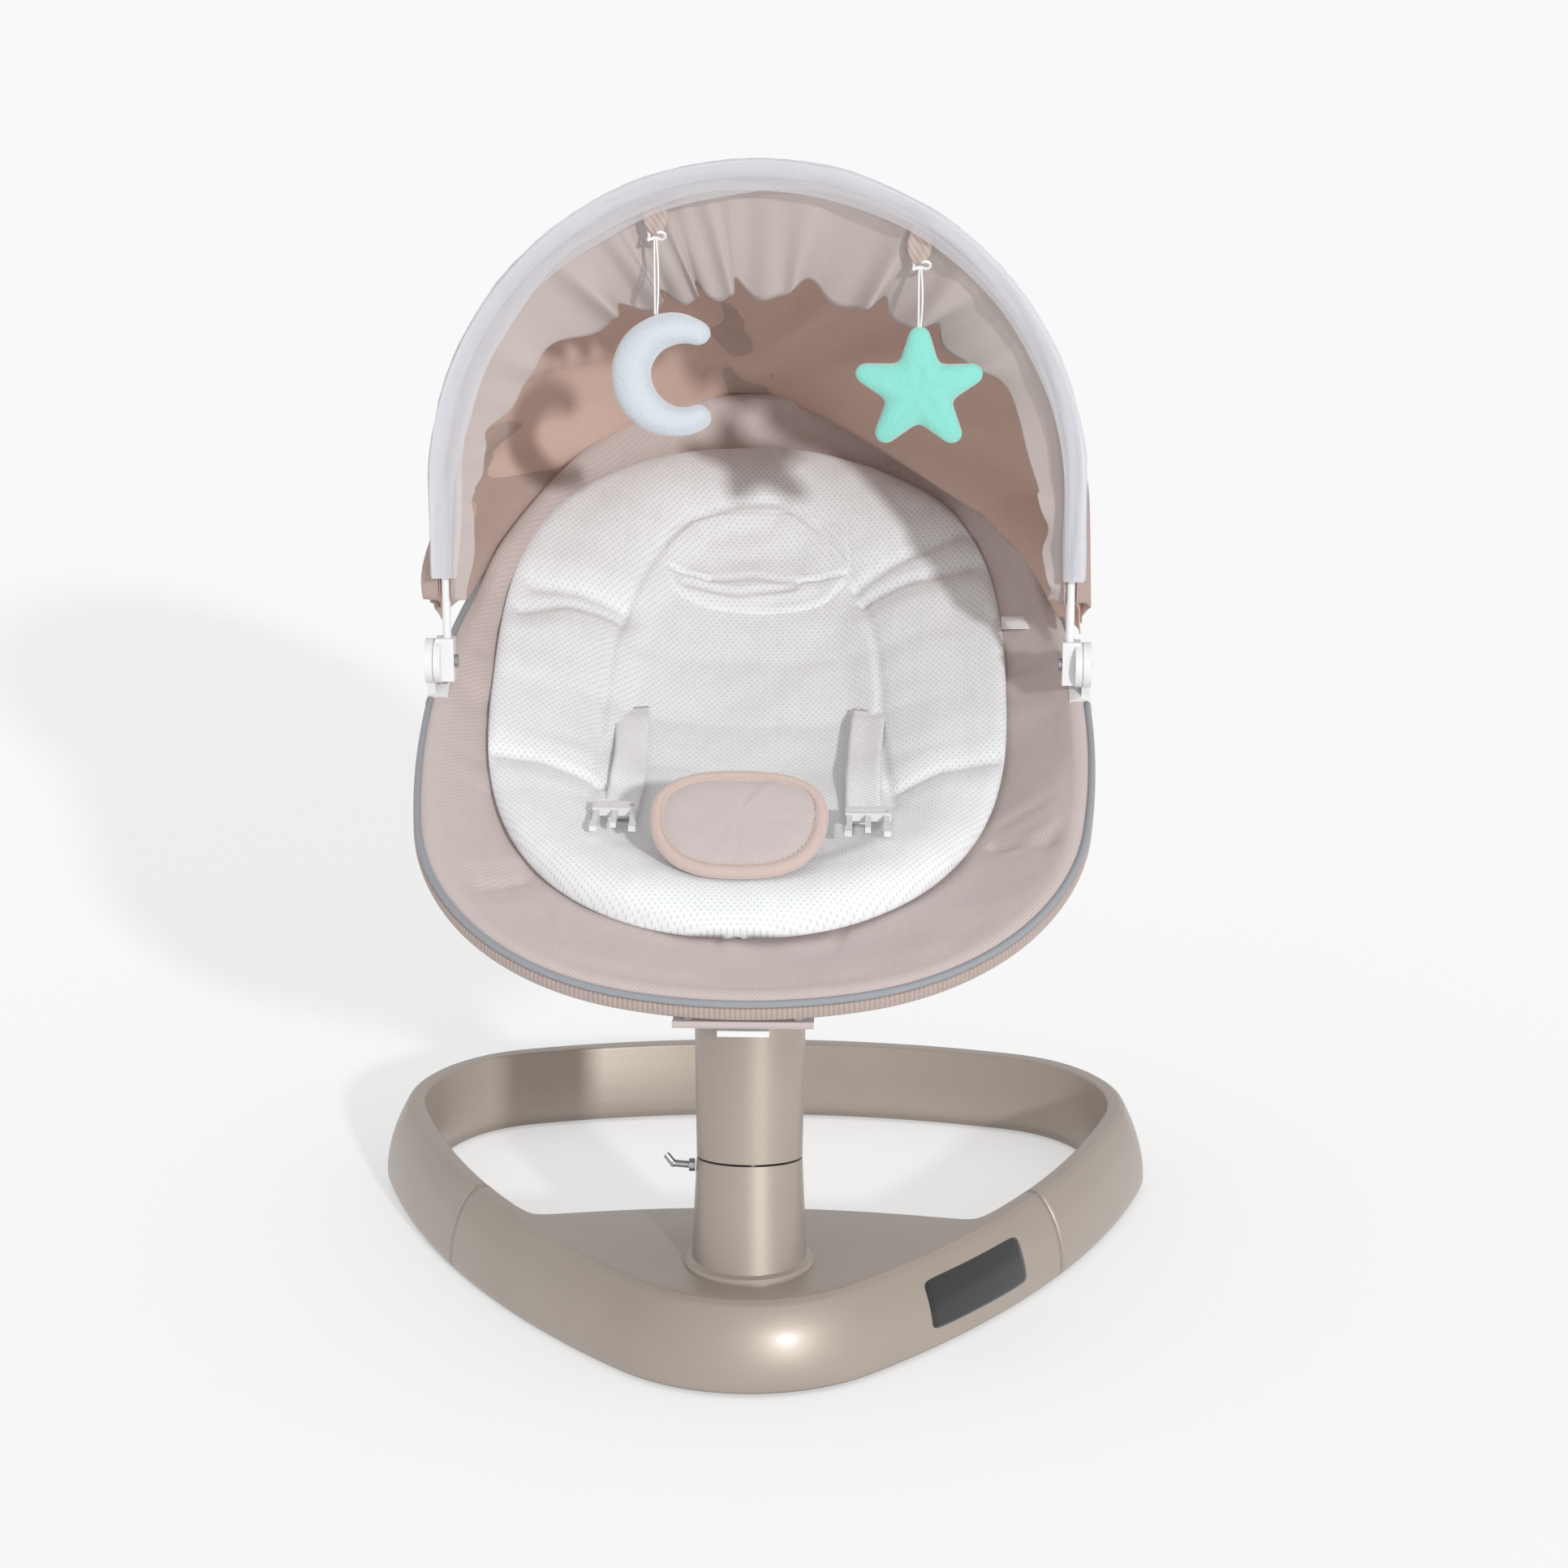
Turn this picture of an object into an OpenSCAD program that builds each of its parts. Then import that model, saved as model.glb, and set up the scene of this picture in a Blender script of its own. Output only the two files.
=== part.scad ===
// Electric baby swing: a cantilever seat with a folding canopy on a leaning
// column, carried by a rounded triangular ring base.  Millimetres, +Z up,
// foot end and control panel towards -Y, +X to the viewer's right.

/* [Base ring] */
// Width across the ring's top ridge
base_w = 560; // [500:5:640]
// Depth across the ring's top ridge
base_d = 529; // [500:1:560]
// Radius of the ring's nose at the front
base_nose_r = 107; // [95:1:120]
// Height of the ring's top above the floor
base_h = 62; // [56:1:72]
// Width of the ring's flat top
rim_w = 12; // [11:0.5:16]
// How far the outer wall swells past the ridge at the front
front_bulge = 20; // [14:1:24]
// How far the outer wall swells past the ridge at the back and sides
side_bulge = 12; // [10:1:20]
// How far the inner wall spreads at the floor
inner_spread = 8; // [5:1:12]
// Wall thickness of the base mouldings
base_wall = 3; // [2:0.25:3.5]
// Distance from the base's middle forward to the deck's back edge
deck_setback = 99; // [85:1:110]
// Radius of the deck's back edge
deck_edge_r = 620; // [400:10:900]
// Height of the rubber feet below the mouldings
foot_lift = 3; // [2:0.5:6]
// Diameter of a rubber foot
foot_d = 18; // [14:1:20]

/* [Column] */
// Distance from the base's middle forward to the column's foot
column_setback = 194; // [188:1:198]
// Backward lean of the column, degrees
column_lean = 10; // [6:1:12]
// Radius of the lower column at the deck
column_foot_r = 40; // [39:0.5:42]
// Radius of both columns at the seam between them
column_seam_r = 36.5; // [36:0.5:38]
// Radius of the upper column at its top
column_top_r = 38.5; // [38:0.5:41]
// Radius of the flange bead round the column's foot
flange_r = 45; // [44:1:48]
// Length of the lower column along its axis
lower_len = 72.5; // [70:0.5:90]
// Distance from the deck to the upper column's top, along the axis
upper_top = 185; // [180:1:200]
// Running gap at the seam between the columns
seam_gap = 1.5; // [1:0.25:3]
// Wall thickness of the columns
column_wall = 3; // [2:0.25:3]
// Radius of the swing spindle
spindle_r = 10; // [9:0.5:11]
// Outer radius of a spindle bearing
bearing_r = 21; // [20.5:0.5:22]
// Width of a spindle bearing
bearing_w = 12; // [10:1:13]

/* [Seat frame] */
// Width of the seat loop over its piping
seat_w = 478; // [470:1:500]
// Length of the seat loop along its slope
seat_l = 690; // [680:1:710]
// Radius of the loop's foot end
seat_foot_r = 350; // [320:5:380]
// Slope of the seat loop, rising to the head, degrees
seat_tilt = 26; // [24:1:27]
// Distance from the column's foot forward to the loop's foot end
seat_reach = 101; // [95:1:107]
// Height of the loop's foot end
seat_foot_z = 281; // [279:1:290]
// Diameter of the seat frame tube
frame_tube_d = 12; // [12:1:16]
// Diameter of the piping round the seat cover
piping_d = 5; // [3:0.5:6]
// Depth of the seat's hollow
tub_depth = 85; // [70:1:90]
// Thickness of the padded seat cover
cover_t = 6.5; // [5:0.5:7]
// Diameter of a cradle tube
cradle_d = 12; // [10:1:12]
// Diameter of a foot strut
strut_d = 10; // [8:1:12]
// Radius of the recline pin
pin_r = 6; // [5:0.5:7]
// Radius of the hub's knuckle round the recline pin
knuckle_r = 14; // [12:0.5:15]

/* [Liner and harness] */
// Width of the white liner pad
liner_w = 376; // [340:2:384]
// How far the liner lies to the right of the seat's middle
liner_x = -8; // [-10:1:10]
// Distance from the loop's foot end to the liner's front edge
liner_start = 82; // [76:1:100]
// Distance from the liner's head edge to the loop's head end
liner_head_gap = 52; // [48:1:80]
// Thickness of the liner pad
liner_t = 30; // [20:1:36]
// Width of the waist webbing
strap_w = 25; // [20:1:30]
// Thickness of the webbing
strap_t = 1.6; // [1:0.2:2]
// Width of the crotch pad
crotch_w = 122; // [100:1:130]
// Length of the crotch pad
crotch_l = 88; // [70:1:95]

/* [Canopy] */
// Distance from the loop's foot end to the canopy hinge, along the slope
hinge_s = 322; // [312:1:332]
// Height of the canopy hinge above the loop
hinge_lift = 26; // [25:1:29]
// How far the canopy bow's rod lies inside the seat's widest line
bow_inset = 17; // [15.5:0.5:19]
// Straight length of the bow's legs from the hinge to the arch
bow_leg = 124; // [120:1:130]
// Diameter of the bow's rod
bow_d = 6; // [5:0.5:7]
// Thickness of the canopy cloth
hood_t = 2.4; // [1.6:0.2:3]
// Depth of the gathered valance at the crown
valance_drop = 92; // [70:1:100]
// Width of the rolled net along the bow
net_w = 12; // [8:0.5:14]

/* [Toys] */
// Height of the moon toy
moon_h = 86; // [70:1:90]
// Width over the star toy's arms
star_w = 91; // [76:1:94]
// Thickness of a plush toy
toy_t = 28; // [20:1:32]
// Diameter of a toy's elastic cord
toy_cord_d = 3; // [2:0.5:3.5]

/* [Hidden] */
$fn = 72;

// --- finishes -------------------------------------------------------------
champagne = [0.66, 0.61, 0.56];
taupe = [0.78, 0.72, 0.69];
white_cloth = [0.93, 0.94, 0.94];
white_plastic = [0.92, 0.92, 0.91];
dark_plastic = [0.16, 0.16, 0.17];
steel = [0.72, 0.73, 0.75];

// --- clearances -----------------------------------------------------------
seat_gap = 0.3;      // between pieces that seat in each other
run_gap = 0.04;      // radial, shaft in bore
cloth_gap = 0.6;     // between soft solids
pad_gap = 1.7;       // between curved pads, whose facets differ

// --- small vector helpers ---------------------------------------------------
big = 2000;
eps = 0.01;
function heading(a) = [cos(a), sin(a)];
function smooth(t) = let(c = min(1, max(0, t))) c * c * (3 - 2 * c);
function mix(a, b, t) = a * (1 - t) + b * t;
function steps(a, b, n) = [for (i = [0:n]) a + (b - a) * i / n];
function det3(a, b, c) = a * cross(b, c);

// --- outlines made of four tangent arcs --------------------------------------
// An outline is [front y, radii, breaks]; the breaks are normal directions in
// degrees, from -90 at the front to 90 at the back.  Given the first radius,
// the other three follow from the width, the depth and the closing of the loop.
function column_of(breaks, i) = [
  cos(min(0, breaks[i + 1])) - cos(min(0, breaks[i])),
  cos(breaks[i + 1]) - cos(breaks[i]),
  sin(breaks[i + 1]) - sin(breaks[i])];
function solved_radii(width, depth, first_r, breaks) =
  let(a = column_of(breaks, 1), b = column_of(breaks, 2), c = column_of(breaks, 3),
      d = [width / 2, 0, depth] - first_r * column_of(breaks, 0), whole = det3(a, b, c))
  [first_r, det3(d, b, c) / whole, det3(a, d, c) / whole, det3(a, b, d) / whole];
function make_outline(width, depth, first_r, breaks, front_y) =
  [front_y, solved_radii(width, depth, first_r, breaks), breaks];
function grown(o, by) = [o[0] - by, [for (r = o[1]) r + by], o[2]];
function arc_start(o, i) = i == 0 ? [0, o[0]]
  : arc_start(o, i - 1) + o[1][i - 1] * (heading(o[2][i]) - heading(o[2][i - 1]));
function arc_index(o, a) = a <= o[2][1] ? 0 : a <= o[2][2] ? 1 : a <= o[2][3] ? 2 : 3;
function right_point(o, a) =
  let(i = arc_index(o, a)) arc_start(o, i) + o[1][i] * (heading(a) - heading(o[2][i]));
function folded(a) = a > 90 ? 180 - a : a < -90 ? -180 - a : a;
function outline_point(o, a) =
  let(p = right_point(o, folded(a))) [a > 90 || a < -90 ? -p[0] : p[0], p[1]];
// Normal direction and half width where the outline reaches a given y.
function arc_at_y(o, y) = y <= arc_start(o, 1)[1] ? 0 : y <= arc_start(o, 2)[1] ? 1
  : y <= arc_start(o, 3)[1] ? 2 : 3;
function normal_at(o, y) =
  let(i = arc_at_y(o, y)) asin(sin(o[2][i]) + (y - arc_start(o, i)[1]) / o[1][i]);
function half_width(o, y) = right_point(o, normal_at(o, y))[0];
// Normal directions from one to another, closer together where the arcs are wide.
function turns_between(o, from, to) = [
  for (i = [0:3]) let(a = max(from, o[2][i]), b = min(to, o[2][i + 1])) if (b > a)
    let(n = ceil(max((b - a) * PI / 180 * o[1][i] / 36, (b - a) / 6)))
    for (k = [0:n - 1]) a + (b - a) * k / n,
  to];
// The same on both sides of a pole at the front (-90) or back (90).
function both_sides(turns, pole) = let(last = len(turns) - 1)
  pole < 0 ? concat([for (i = [last:-1:1]) 2 * pole - turns[i]], turns)
           : concat(turns, [for (i = [last - 1:-1:0]) 2 * pole - turns[i]]);
function front_turns(gap) = both_sides(turns_between(base, -90, seam_a - gap), -90);
function rear_turns(gap) = both_sides(turns_between(base, seam_a + gap, 90), 90);

// --- solids from point grids --------------------------------------------------
// A closed solid between two grids of points with the same rows and columns; the
// first grid's rows and columns run anticlockwise as seen from outside.
module thick_grid(outer, inner) {
  rows = len(outer);
  cols = len(outer[0]);
  count = rows * cols;
  points = [for (grid = [outer, inner]) for (row = grid) for (p = row) p];
  faces = [
    for (i = [0:rows - 2]) for (j = [0:cols - 2])
      let(a = i * cols + j, b = a + 1, c = a + cols + 1, d = a + cols)
      each [[a, b, c], [a, c, d], [count + a, count + c, count + b], [count + a, count + d, count + c]],
    for (i = [0:rows - 2]) for (side = [0, cols - 1])
      let(a = i * cols + side, d = a + cols)
      each side == 0 ? [[a, d, count + d], [a, count + d, count + a]]
                     : [[d, a, count + a], [d, count + a, count + d]],
    for (j = [0:cols - 2]) for (side = [0, rows - 1])
      let(a = side * cols + j, b = a + 1)
      each side == 0 ? [[b, a, count + a], [b, count + a, count + b]]
                     : [[a, b, count + b], [a, count + b, count + a]]];
  polyhedron(points, faces);
}

// A solid through rings of points with the same count: capped at its two ends,
// or closed on itself.
module swept(rings, closed = false) {
  sides = len(rings[0]);
  count = len(rings);
  last = (count - 1) * sides;
  faces = [
    for (i = [0:count - (closed ? 1 : 2)]) for (j = [0:sides - 1])
      let(k = (i + 1) % count * sides, a = i * sides + j, b = i * sides + (j + 1) % sides,
          c = k + (j + 1) % sides, d = k + j)
      each [[a, b, c], [a, c, d]],
    if (!closed) for (j = [1:sides - 2]) each [[0, j + 1, j], [last, last + j, last + j + 1]]];
  polyhedron([for (ring = rings) for (p = ring) p], faces);
}

// A round bar from p to q.
module bar(p, q, r) {
  v = q - p;
  translate(p) rotate([0, acos(v[2] / norm(v)), atan2(v[1], v[0])]) cylinder(r = r, h = norm(v));
}

// A bent round tube through a few corner points, with slightly swollen ball elbows.
elbow_swell = 0.3;
module bent_tube(points, r) {
  for (i = [0:len(points) - 2]) bar(points[i], points[i + 1], r);
  for (i = [1:len(points) - 2]) translate(points[i]) sphere(r = r + elbow_swell);
}

// A profile of [outward, up] points, carried round an outline between two
// normal directions.
function round_profile(r, sides) = [for (k = [0:sides - 1]) r * heading(360 * k / sides)];
module along_outline(o, from, to, count, profile) {
  closed = to - from == 360;
  swept([for (i = [0:closed ? count - 1 : count])
    let(a = from + (to - from) * i / count, c = outline_point(o, a))
    [for (q = profile) [c[0] + q[0] * cos(a), c[1] + q[0] * sin(a), q[1]]]], closed);
}

// --- overall placing ------------------------------------------------------
// Everything is laid out about the base's middle, then moved so that the
// origin lies on the floor under the middle of the whole object.
base = make_outline(base_w, base_d, base_nose_r, [-90, -47, -16, 73, 90], -base_d / 2);
loop = make_outline(seat_w, seat_l, seat_foot_r, [-90, -76, -8, 28, 90], 0);
piping_r = piping_d / 2;
frame_r = frame_tube_d / 2;
pipe_pitch = (frame_r + piping_r + seat_gap) * sin(45);
frame_inset = piping_r + pipe_pitch;        // outline to the tube's centre line
frame_drop = pipe_pitch;                    // piping's centre to the tube's centre
band_hang = frame_drop + frame_r + 1;       // how far the cover's band hangs below the piping
seat_foot_setback = column_setback + seat_reach;
front_reach = -seat_foot_setback + piping_r * (cos(seat_tilt) - 1);
back_reach = -seat_foot_setback + seat_l * cos(seat_tilt) + band_hang * sin(seat_tilt);
origin_y = (front_reach + back_reach) / 2;
module placed() {
  translate([0, -origin_y, 0]) children();
}

// --- base ring ------------------------------------------------------------
seam_a = -30;                    // normal direction of the joint between the mouldings
seam_half = 0.06;                // half the hairline between the mouldings, degrees
edge_round = 1.5;                // rounding of the top ridge
deck_round = 12;                 // rounding where the deck meets the ring
function at(p, z) = [p[0], p[1], z];
function bulge(a) = mix(front_bulge, side_bulge, smooth((folded(a) + 20) / 30));
// Outer wall profile: [share of the bulge, share of the height], floor to ridge.
wall_shape = [[0.90, 0], [1, 0.10], [0.97, 0.30], [0.84, 0.50], [0.62, 0.70], [0.34, 0.86], [0.08, 0.97]];
function wall_z(share) = foot_lift + (base_h - foot_lift) * share;
function wall_point(a, shape, inset) =
  at(outline_point(grown(base, bulge(a) * shape[0] - inset), a), wall_z(shape[1]));
// Inner edge of a moulding: the ring's own inner edge, or the deck's back edge.
function deck_edge(x) = -deck_setback - deck_edge_r + sqrt(deck_edge_r * deck_edge_r - x * x);
function soft_max(a, b) = (a + b + sqrt((a - b) * (a - b) + deck_round * deck_round)) / 2;
function inner_edge(a, spread, decked) =
  let(p = outline_point(grown(base, -rim_w - spread), a))
  [p[0], decked ? soft_max(p[1], deck_edge(p[0]) + spread) : p[1]];
function toward(q, p, by) = q + by * (p - q) / norm(p - q);
function shell_outside(a, decked) =
  let(ridge = outline_point(base, a), top = inner_edge(a, 0, decked))
  [for (s = wall_shape) wall_point(a, s, 0),
   at(toward(ridge, top, edge_round), base_h),
   at(toward(top, ridge, edge_round), base_h),
   at(top, base_h - edge_round),
   at(inner_edge(a, inner_spread * 0.75, decked), wall_z(0.5)),
   at(inner_edge(a, inner_spread, decked), foot_lift)];
function shell_inside(a, decked) =
  let(ridge = outline_point(base, a), top = inner_edge(a, 0, decked), under = base_h - base_wall,
      mid = inner_edge(a, inner_spread * 0.75, decked), low = inner_edge(a, inner_spread, decked))
  [for (s = wall_shape) let(p = wall_point(a, s, base_wall)) at(p, min(p[2], under)),
   at(toward(ridge, top, base_wall + edge_round), under),
   at(toward(top, ridge, base_wall + edge_round), under),
   at(toward(top, ridge, base_wall), under - edge_round),
   at(toward(mid, ridge, base_wall), wall_z(0.5)),
   at(toward(low, ridge, base_wall), foot_lift)];
module base_shell(angles, decked) {
  thick_grid([for (a = angles) shell_outside(a, decked)], [for (a = angles) shell_inside(a, decked)]);
}

column_y = -column_setback;
spindle_hole_r = spindle_r + 5;
screw_r = 3;
screw_circle = bearing_r + screw_r + 2;
screw_turns = [45, 135, 225, 315];
module at_column_screws() {
  for (t = screw_turns) translate([0, column_y, 0] + screw_circle * [cos(t), sin(t), 0]) children();
}
module base_front_shell() {
  color(champagne) difference() {
    base_shell(front_turns(seam_half), true);
    translate([0, column_y, 0]) cylinder(r = spindle_hole_r, h = 2 * base_h);
    at_column_screws() cylinder(r = screw_r + seat_gap, h = 2 * base_h);
    translate([inlet_x, inlet_face_y, inlet_z]) rotate([90, 0, 0])
      cylinder(r = inlet_r + seat_gap, h = 8 * base_wall, center = true);
  }
}
module base_rear_shell() {
  color(champagne) base_shell(rear_turns(seam_half), false);
}

// Bottom covers: flat plates just inside the mouldings' lower edges.
cover_plate_t = 3;
cover_in = base_wall + cloth_gap + seat_gap;
function cover_outer(a) = outline_point(grown(base, bulge(a) * wall_shape[0][0] - cover_in), a);
function cover_inner(a, decked) =
  toward(inner_edge(a, inner_spread, decked), outline_point(base, a), cover_in);
module cover_plate(angles, decked) {
  polygon([for (a = angles) cover_outer(a),
           for (i = [len(angles) - 1:-1:0]) cover_inner(angles[i], decked)]);
}
foot_turns = [-128, -90, -52, 25, 90, 155];     // normal directions where feet stand
foot_r = foot_d / 2;
foot_plug_r = 3;
foot_plug_l = 5;
function foot_spot(a) =
  (outline_point(grown(base, bulge(a) * wall_shape[0][0]), a) + inner_edge(a, inner_spread, false)) / 2;
module at_feet(lowest, highest) {
  for (a = foot_turns) if (folded(a) >= lowest && folded(a) <= highest)
    translate(at(foot_spot(a), 0)) children();
}
cover_screw_x = 78;              // screws beside the column, and in front of and behind it
cover_screw_ys = [-20, 25];
cover_screw_spots = [for (side = [-1, 1]) for (y = cover_screw_ys) [side * cover_screw_x, column_y + y]];
cover_screw_r = 1.8;
cover_screw_l = 14;
cover_boss_r = 4;
module at_cover_screws() {
  for (s = cover_screw_spots) translate(at(s, 0)) children();
}
module base_front_cover() {
  color(dark_plastic) translate([0, 0, foot_lift]) difference() {
    linear_extrude(cover_plate_t) cover_plate(front_turns(4 * seam_half), true);
    at_feet(-90, seam_a) translate([0, 0, -1]) cylinder(r = foot_plug_r + seat_gap, h = 2 * cover_plate_t);
    at_cover_screws() translate([0, 0, -1]) cylinder(r = cover_screw_r + 0.2, h = 2 * cover_plate_t);
  }
  // Bosses that carry the deck's screws down to the cover.
  color(dark_plastic) at_cover_screws() translate([0, 0, foot_lift + cover_plate_t]) difference() {
    cylinder(r = cover_boss_r, h = base_h - base_wall - foot_lift - cover_plate_t - seat_gap);
    translate([0, 0, -1]) cylinder(r = cover_screw_r + 0.2, h = cover_screw_l + 2);
  }
}
module base_rear_cover() {
  color(dark_plastic) translate([0, 0, foot_lift]) difference() {
    linear_extrude(cover_plate_t) cover_plate(rear_turns(4 * seam_half), false);
    at_feet(seam_a, 90) translate([0, 0, -1]) cylinder(r = foot_plug_r + seat_gap, h = 2 * cover_plate_t);
  }
}
module cover_screws() {
  color(steel) at_cover_screws() {
    translate([0, 0, foot_lift - 1.6]) cylinder(r = 3.4, h = 1.6);
    translate([0, 0, foot_lift - eps]) cylinder(r = cover_screw_r, h = cover_screw_l);
  }
}
module foot_pads() {
  color([0.2, 0.2, 0.2]) at_feet(-90, 90) {
    cylinder(r = foot_r, h = foot_lift);
    translate([0, 0, foot_lift - eps]) cylinder(r = foot_plug_r, h = foot_plug_l);
  }
}

// Sleeves inside the ring that join the front and rear mouldings.
module joint_sleeves() {
  reach = 4;
  lift = foot_lift + cover_plate_t + seat_gap;
  inset = base_wall + 3 * seat_gap;
  high = base_h - base_wall - edge_round - seat_gap;
  color(dark_plastic) for (side = [0, 1]) mirror([side, 0, 0])
    swept([for (a = steps(seam_a - reach, seam_a + reach, 2))
      [at(outline_point(grown(base, bulge(a) * 0.9 - inset), a), lift),
       at(outline_point(grown(base, bulge(a) * 0.6 - inset), a), wall_z(0.6)),
       at(outline_point(grown(base, -inset - 2), a), high),
       at(outline_point(grown(base, -rim_w + inset), a), high),
       at(outline_point(grown(base, -rim_w - inner_spread + inset), a), lift)]]);
}

// --- control panel and what lies behind it -----------------------------------
panel_from = -42.5;              // normal directions between which the panel lies
panel_to = -34;
panel_low = 0.24;                // shares of the wall's height
panel_high = 0.80;
lens_t = 1.2;
function wall_share(up) = lookup(up, [for (s = wall_shape) [s[1], s[0]]]);
module wall_patch(from, to, low, high, off_in, off_out) {
  ups = [low, for (s = wall_shape) if (s[1] > low && s[1] < high) s[1], high];
  rows = [for (a = steps(from, to, 6)) [for (up = ups) [a, [wall_share(up), up]]]];
  thick_grid([for (row = rows) [for (c = row) wall_point(c[0], c[1], -off_out)]],
             [for (row = rows) [for (c = row) wall_point(c[0], c[1], -off_in)]]);
}
module panel_lens() {
  color([0.06, 0.06, 0.07])
    wall_patch(panel_from, panel_to, panel_low, panel_high, 0.12, 0.12 + lens_t);
}
board_t = 1.6;
panel_mid = (panel_from + panel_to) / 2;
// A frame on the ring's wall: x outward, y along the ring, z up, at a given inset.
module on_wall(a, inset) {
  p = outline_point(grown(base, -inset), a);
  translate([p[0], p[1], 0]) rotate([0, 0, a]) children();
}
board_inset = base_wall + 2;
board_low = foot_lift + cover_plate_t;
module control_board() {
  color([0.10, 0.35, 0.20]) on_wall(panel_mid, board_inset)
    translate([-board_t, -38, board_low + 0.3]) cube([board_t, 76, 36]);
  color([0.15, 0.15, 0.15]) on_wall(panel_mid, board_inset + board_t)
    translate([-6 - eps, -12, board_low + 12]) cube([6, 24, 14]);
}
module speaker() {
  color([0.12, 0.12, 0.12]) translate([-105, column_y + 62, foot_lift + cover_plate_t + 0.3]) {
    cylinder(r = 22, h = 4);
    translate([0, 0, 4 - eps]) cylinder(r1 = 18, r2 = 12, h = 10);
    translate([0, 0, 14 - 2 * eps]) cylinder(r = 12, h = 6);
  }
}
// Low-voltage supply socket in the deck's back wall.
inlet_r = 5.5;
inlet_x = 70;
inlet_z = 24;
inlet_face_y = deck_edge(inlet_x) + inner_spread * 0.8 - 1;
inlet_bore_r = 2.8;
inlet_l = 16;
module dc_inlet() {
  color(dark_plastic) translate([inlet_x, inlet_face_y - inlet_l, inlet_z]) rotate([-90, 0, 0])
    difference() {
      cylinder(r = inlet_r, h = inlet_l);
      translate([0, 0, 3]) cylinder(r = inlet_bore_r, h = inlet_l);
      translate([0, 0, -eps]) cylinder(r = 1, h = inlet_l);
    }
}

// --- column ---------------------------------------------------------------
// Local frame: origin on the deck at the column's foot, +Z up the leaning axis.
module on_column() {
  translate([0, column_y, base_h]) rotate([-column_lean, 0, 0]) children();
}
module below_deck() {
  translate([-big / 2, -big / 2, base_h - big]) cube(big);
}
foot_sink = 12;
bead_h = 7;
module lower_column() {
  color(champagne) difference() {
    union() {
      on_column() translate([0, 0, -foot_sink])
        cylinder(r1 = column_foot_r + 0.6, r2 = column_seam_r, h = lower_len + foot_sink);
      translate([0, column_y, base_h]) rotate_extrude()
        polygon([[column_foot_r - 4, 0], [flange_r, 0], [flange_r, 1.5], [flange_r - 1.6, 3.6],
                 [flange_r - 4, 4.6], [column_foot_r - 4, bead_h]]);
    }
    on_column() translate([0, 0, -foot_sink - 1])
      cylinder(r = column_seam_r - column_wall, h = lower_len + foot_sink + 2);
    below_deck();
  }
}
housing_r = column_seam_r - column_wall - 1;
shoulder = 8;
housing_top = lower_len - 2.5;
upper_bearing_z = housing_top - 1 - bearing_w;
module bearing_housing() {
  color([0.62, 0.63, 0.65]) difference() {
    on_column() translate([0, 0, -foot_sink]) cylinder(r = housing_r, h = housing_top + foot_sink);
    on_column() translate([0, 0, shoulder]) cylinder(r = bearing_r + run_gap, h = housing_top);
    on_column() translate([0, 0, -foot_sink - 1]) cylinder(r = spindle_hole_r - 1, h = housing_top);
    at_column_screws() translate([0, 0, base_h - eps]) cylinder(r = screw_r + run_gap, h = 13);
    below_deck();
  }
}
module ring(outer_r, inner_r, h) {
  difference() {
    cylinder(r = outer_r, h = h);
    translate([0, 0, -1]) cylinder(r = inner_r, h = h + 2);
  }
}
module spindle_bearings() {
  color(steel) on_column() for (z = [shoulder + run_gap, upper_bearing_z])
    translate([0, 0, z]) ring(bearing_r, spindle_r + run_gap, bearing_w);
}
module bearing_spacer() {
  color([0.5, 0.5, 0.52]) on_column() translate([0, 0, shoulder + bearing_w + 2 * run_gap])
    ring(bearing_r - 0.2, spindle_r + 4, upper_bearing_z - shoulder - bearing_w - 3 * run_gap);
}
module column_screws() {
  head_z = base_h - base_wall;
  color(steel) at_column_screws() {
    translate([0, 0, head_z - 4.1]) cylinder(r = 5, h = 4);
    translate([0, 0, head_z - 0.2]) cylinder(r = screw_r, h = 14);
  }
}
arm_z = -34;                     // along the column's axis, below the deck
arm_l = 52;
magnet_size = [22, 12, 8];
arm_t = 5;
module magnet_arm() {
  color([0.75, 0.75, 0.73]) on_column() difference() {
    union() {
      translate([0, 0, arm_z]) cylinder(r = spindle_r + 4, h = arm_t);
      translate([-7, 0, arm_z]) cube([14, arm_l, arm_t]);
    }
    translate([0, 0, arm_z - 1]) cylinder(r = spindle_r + run_gap, h = arm_t + 2);
  }
}
module drive_magnet() {
  color([0.55, 0.56, 0.58]) on_column()
    translate([-magnet_size[0] / 2, arm_l - magnet_size[1], arm_z - magnet_size[2] - 0.05]) cube(magnet_size);
}
coil_r = 17;
coil_core_r = 6;
coil_h = 8;
coil_y = column_y + arm_l * cos(column_lean) + arm_z * sin(column_lean) - 8;
module drive_coil() {
  color([0.72, 0.42, 0.20]) translate([0, coil_y, foot_lift + cover_plate_t]) {
    ring(coil_r, coil_core_r + 1, coil_h - 3);
    ring(coil_r + 3, coil_core_r, 1);
  }
}

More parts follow.
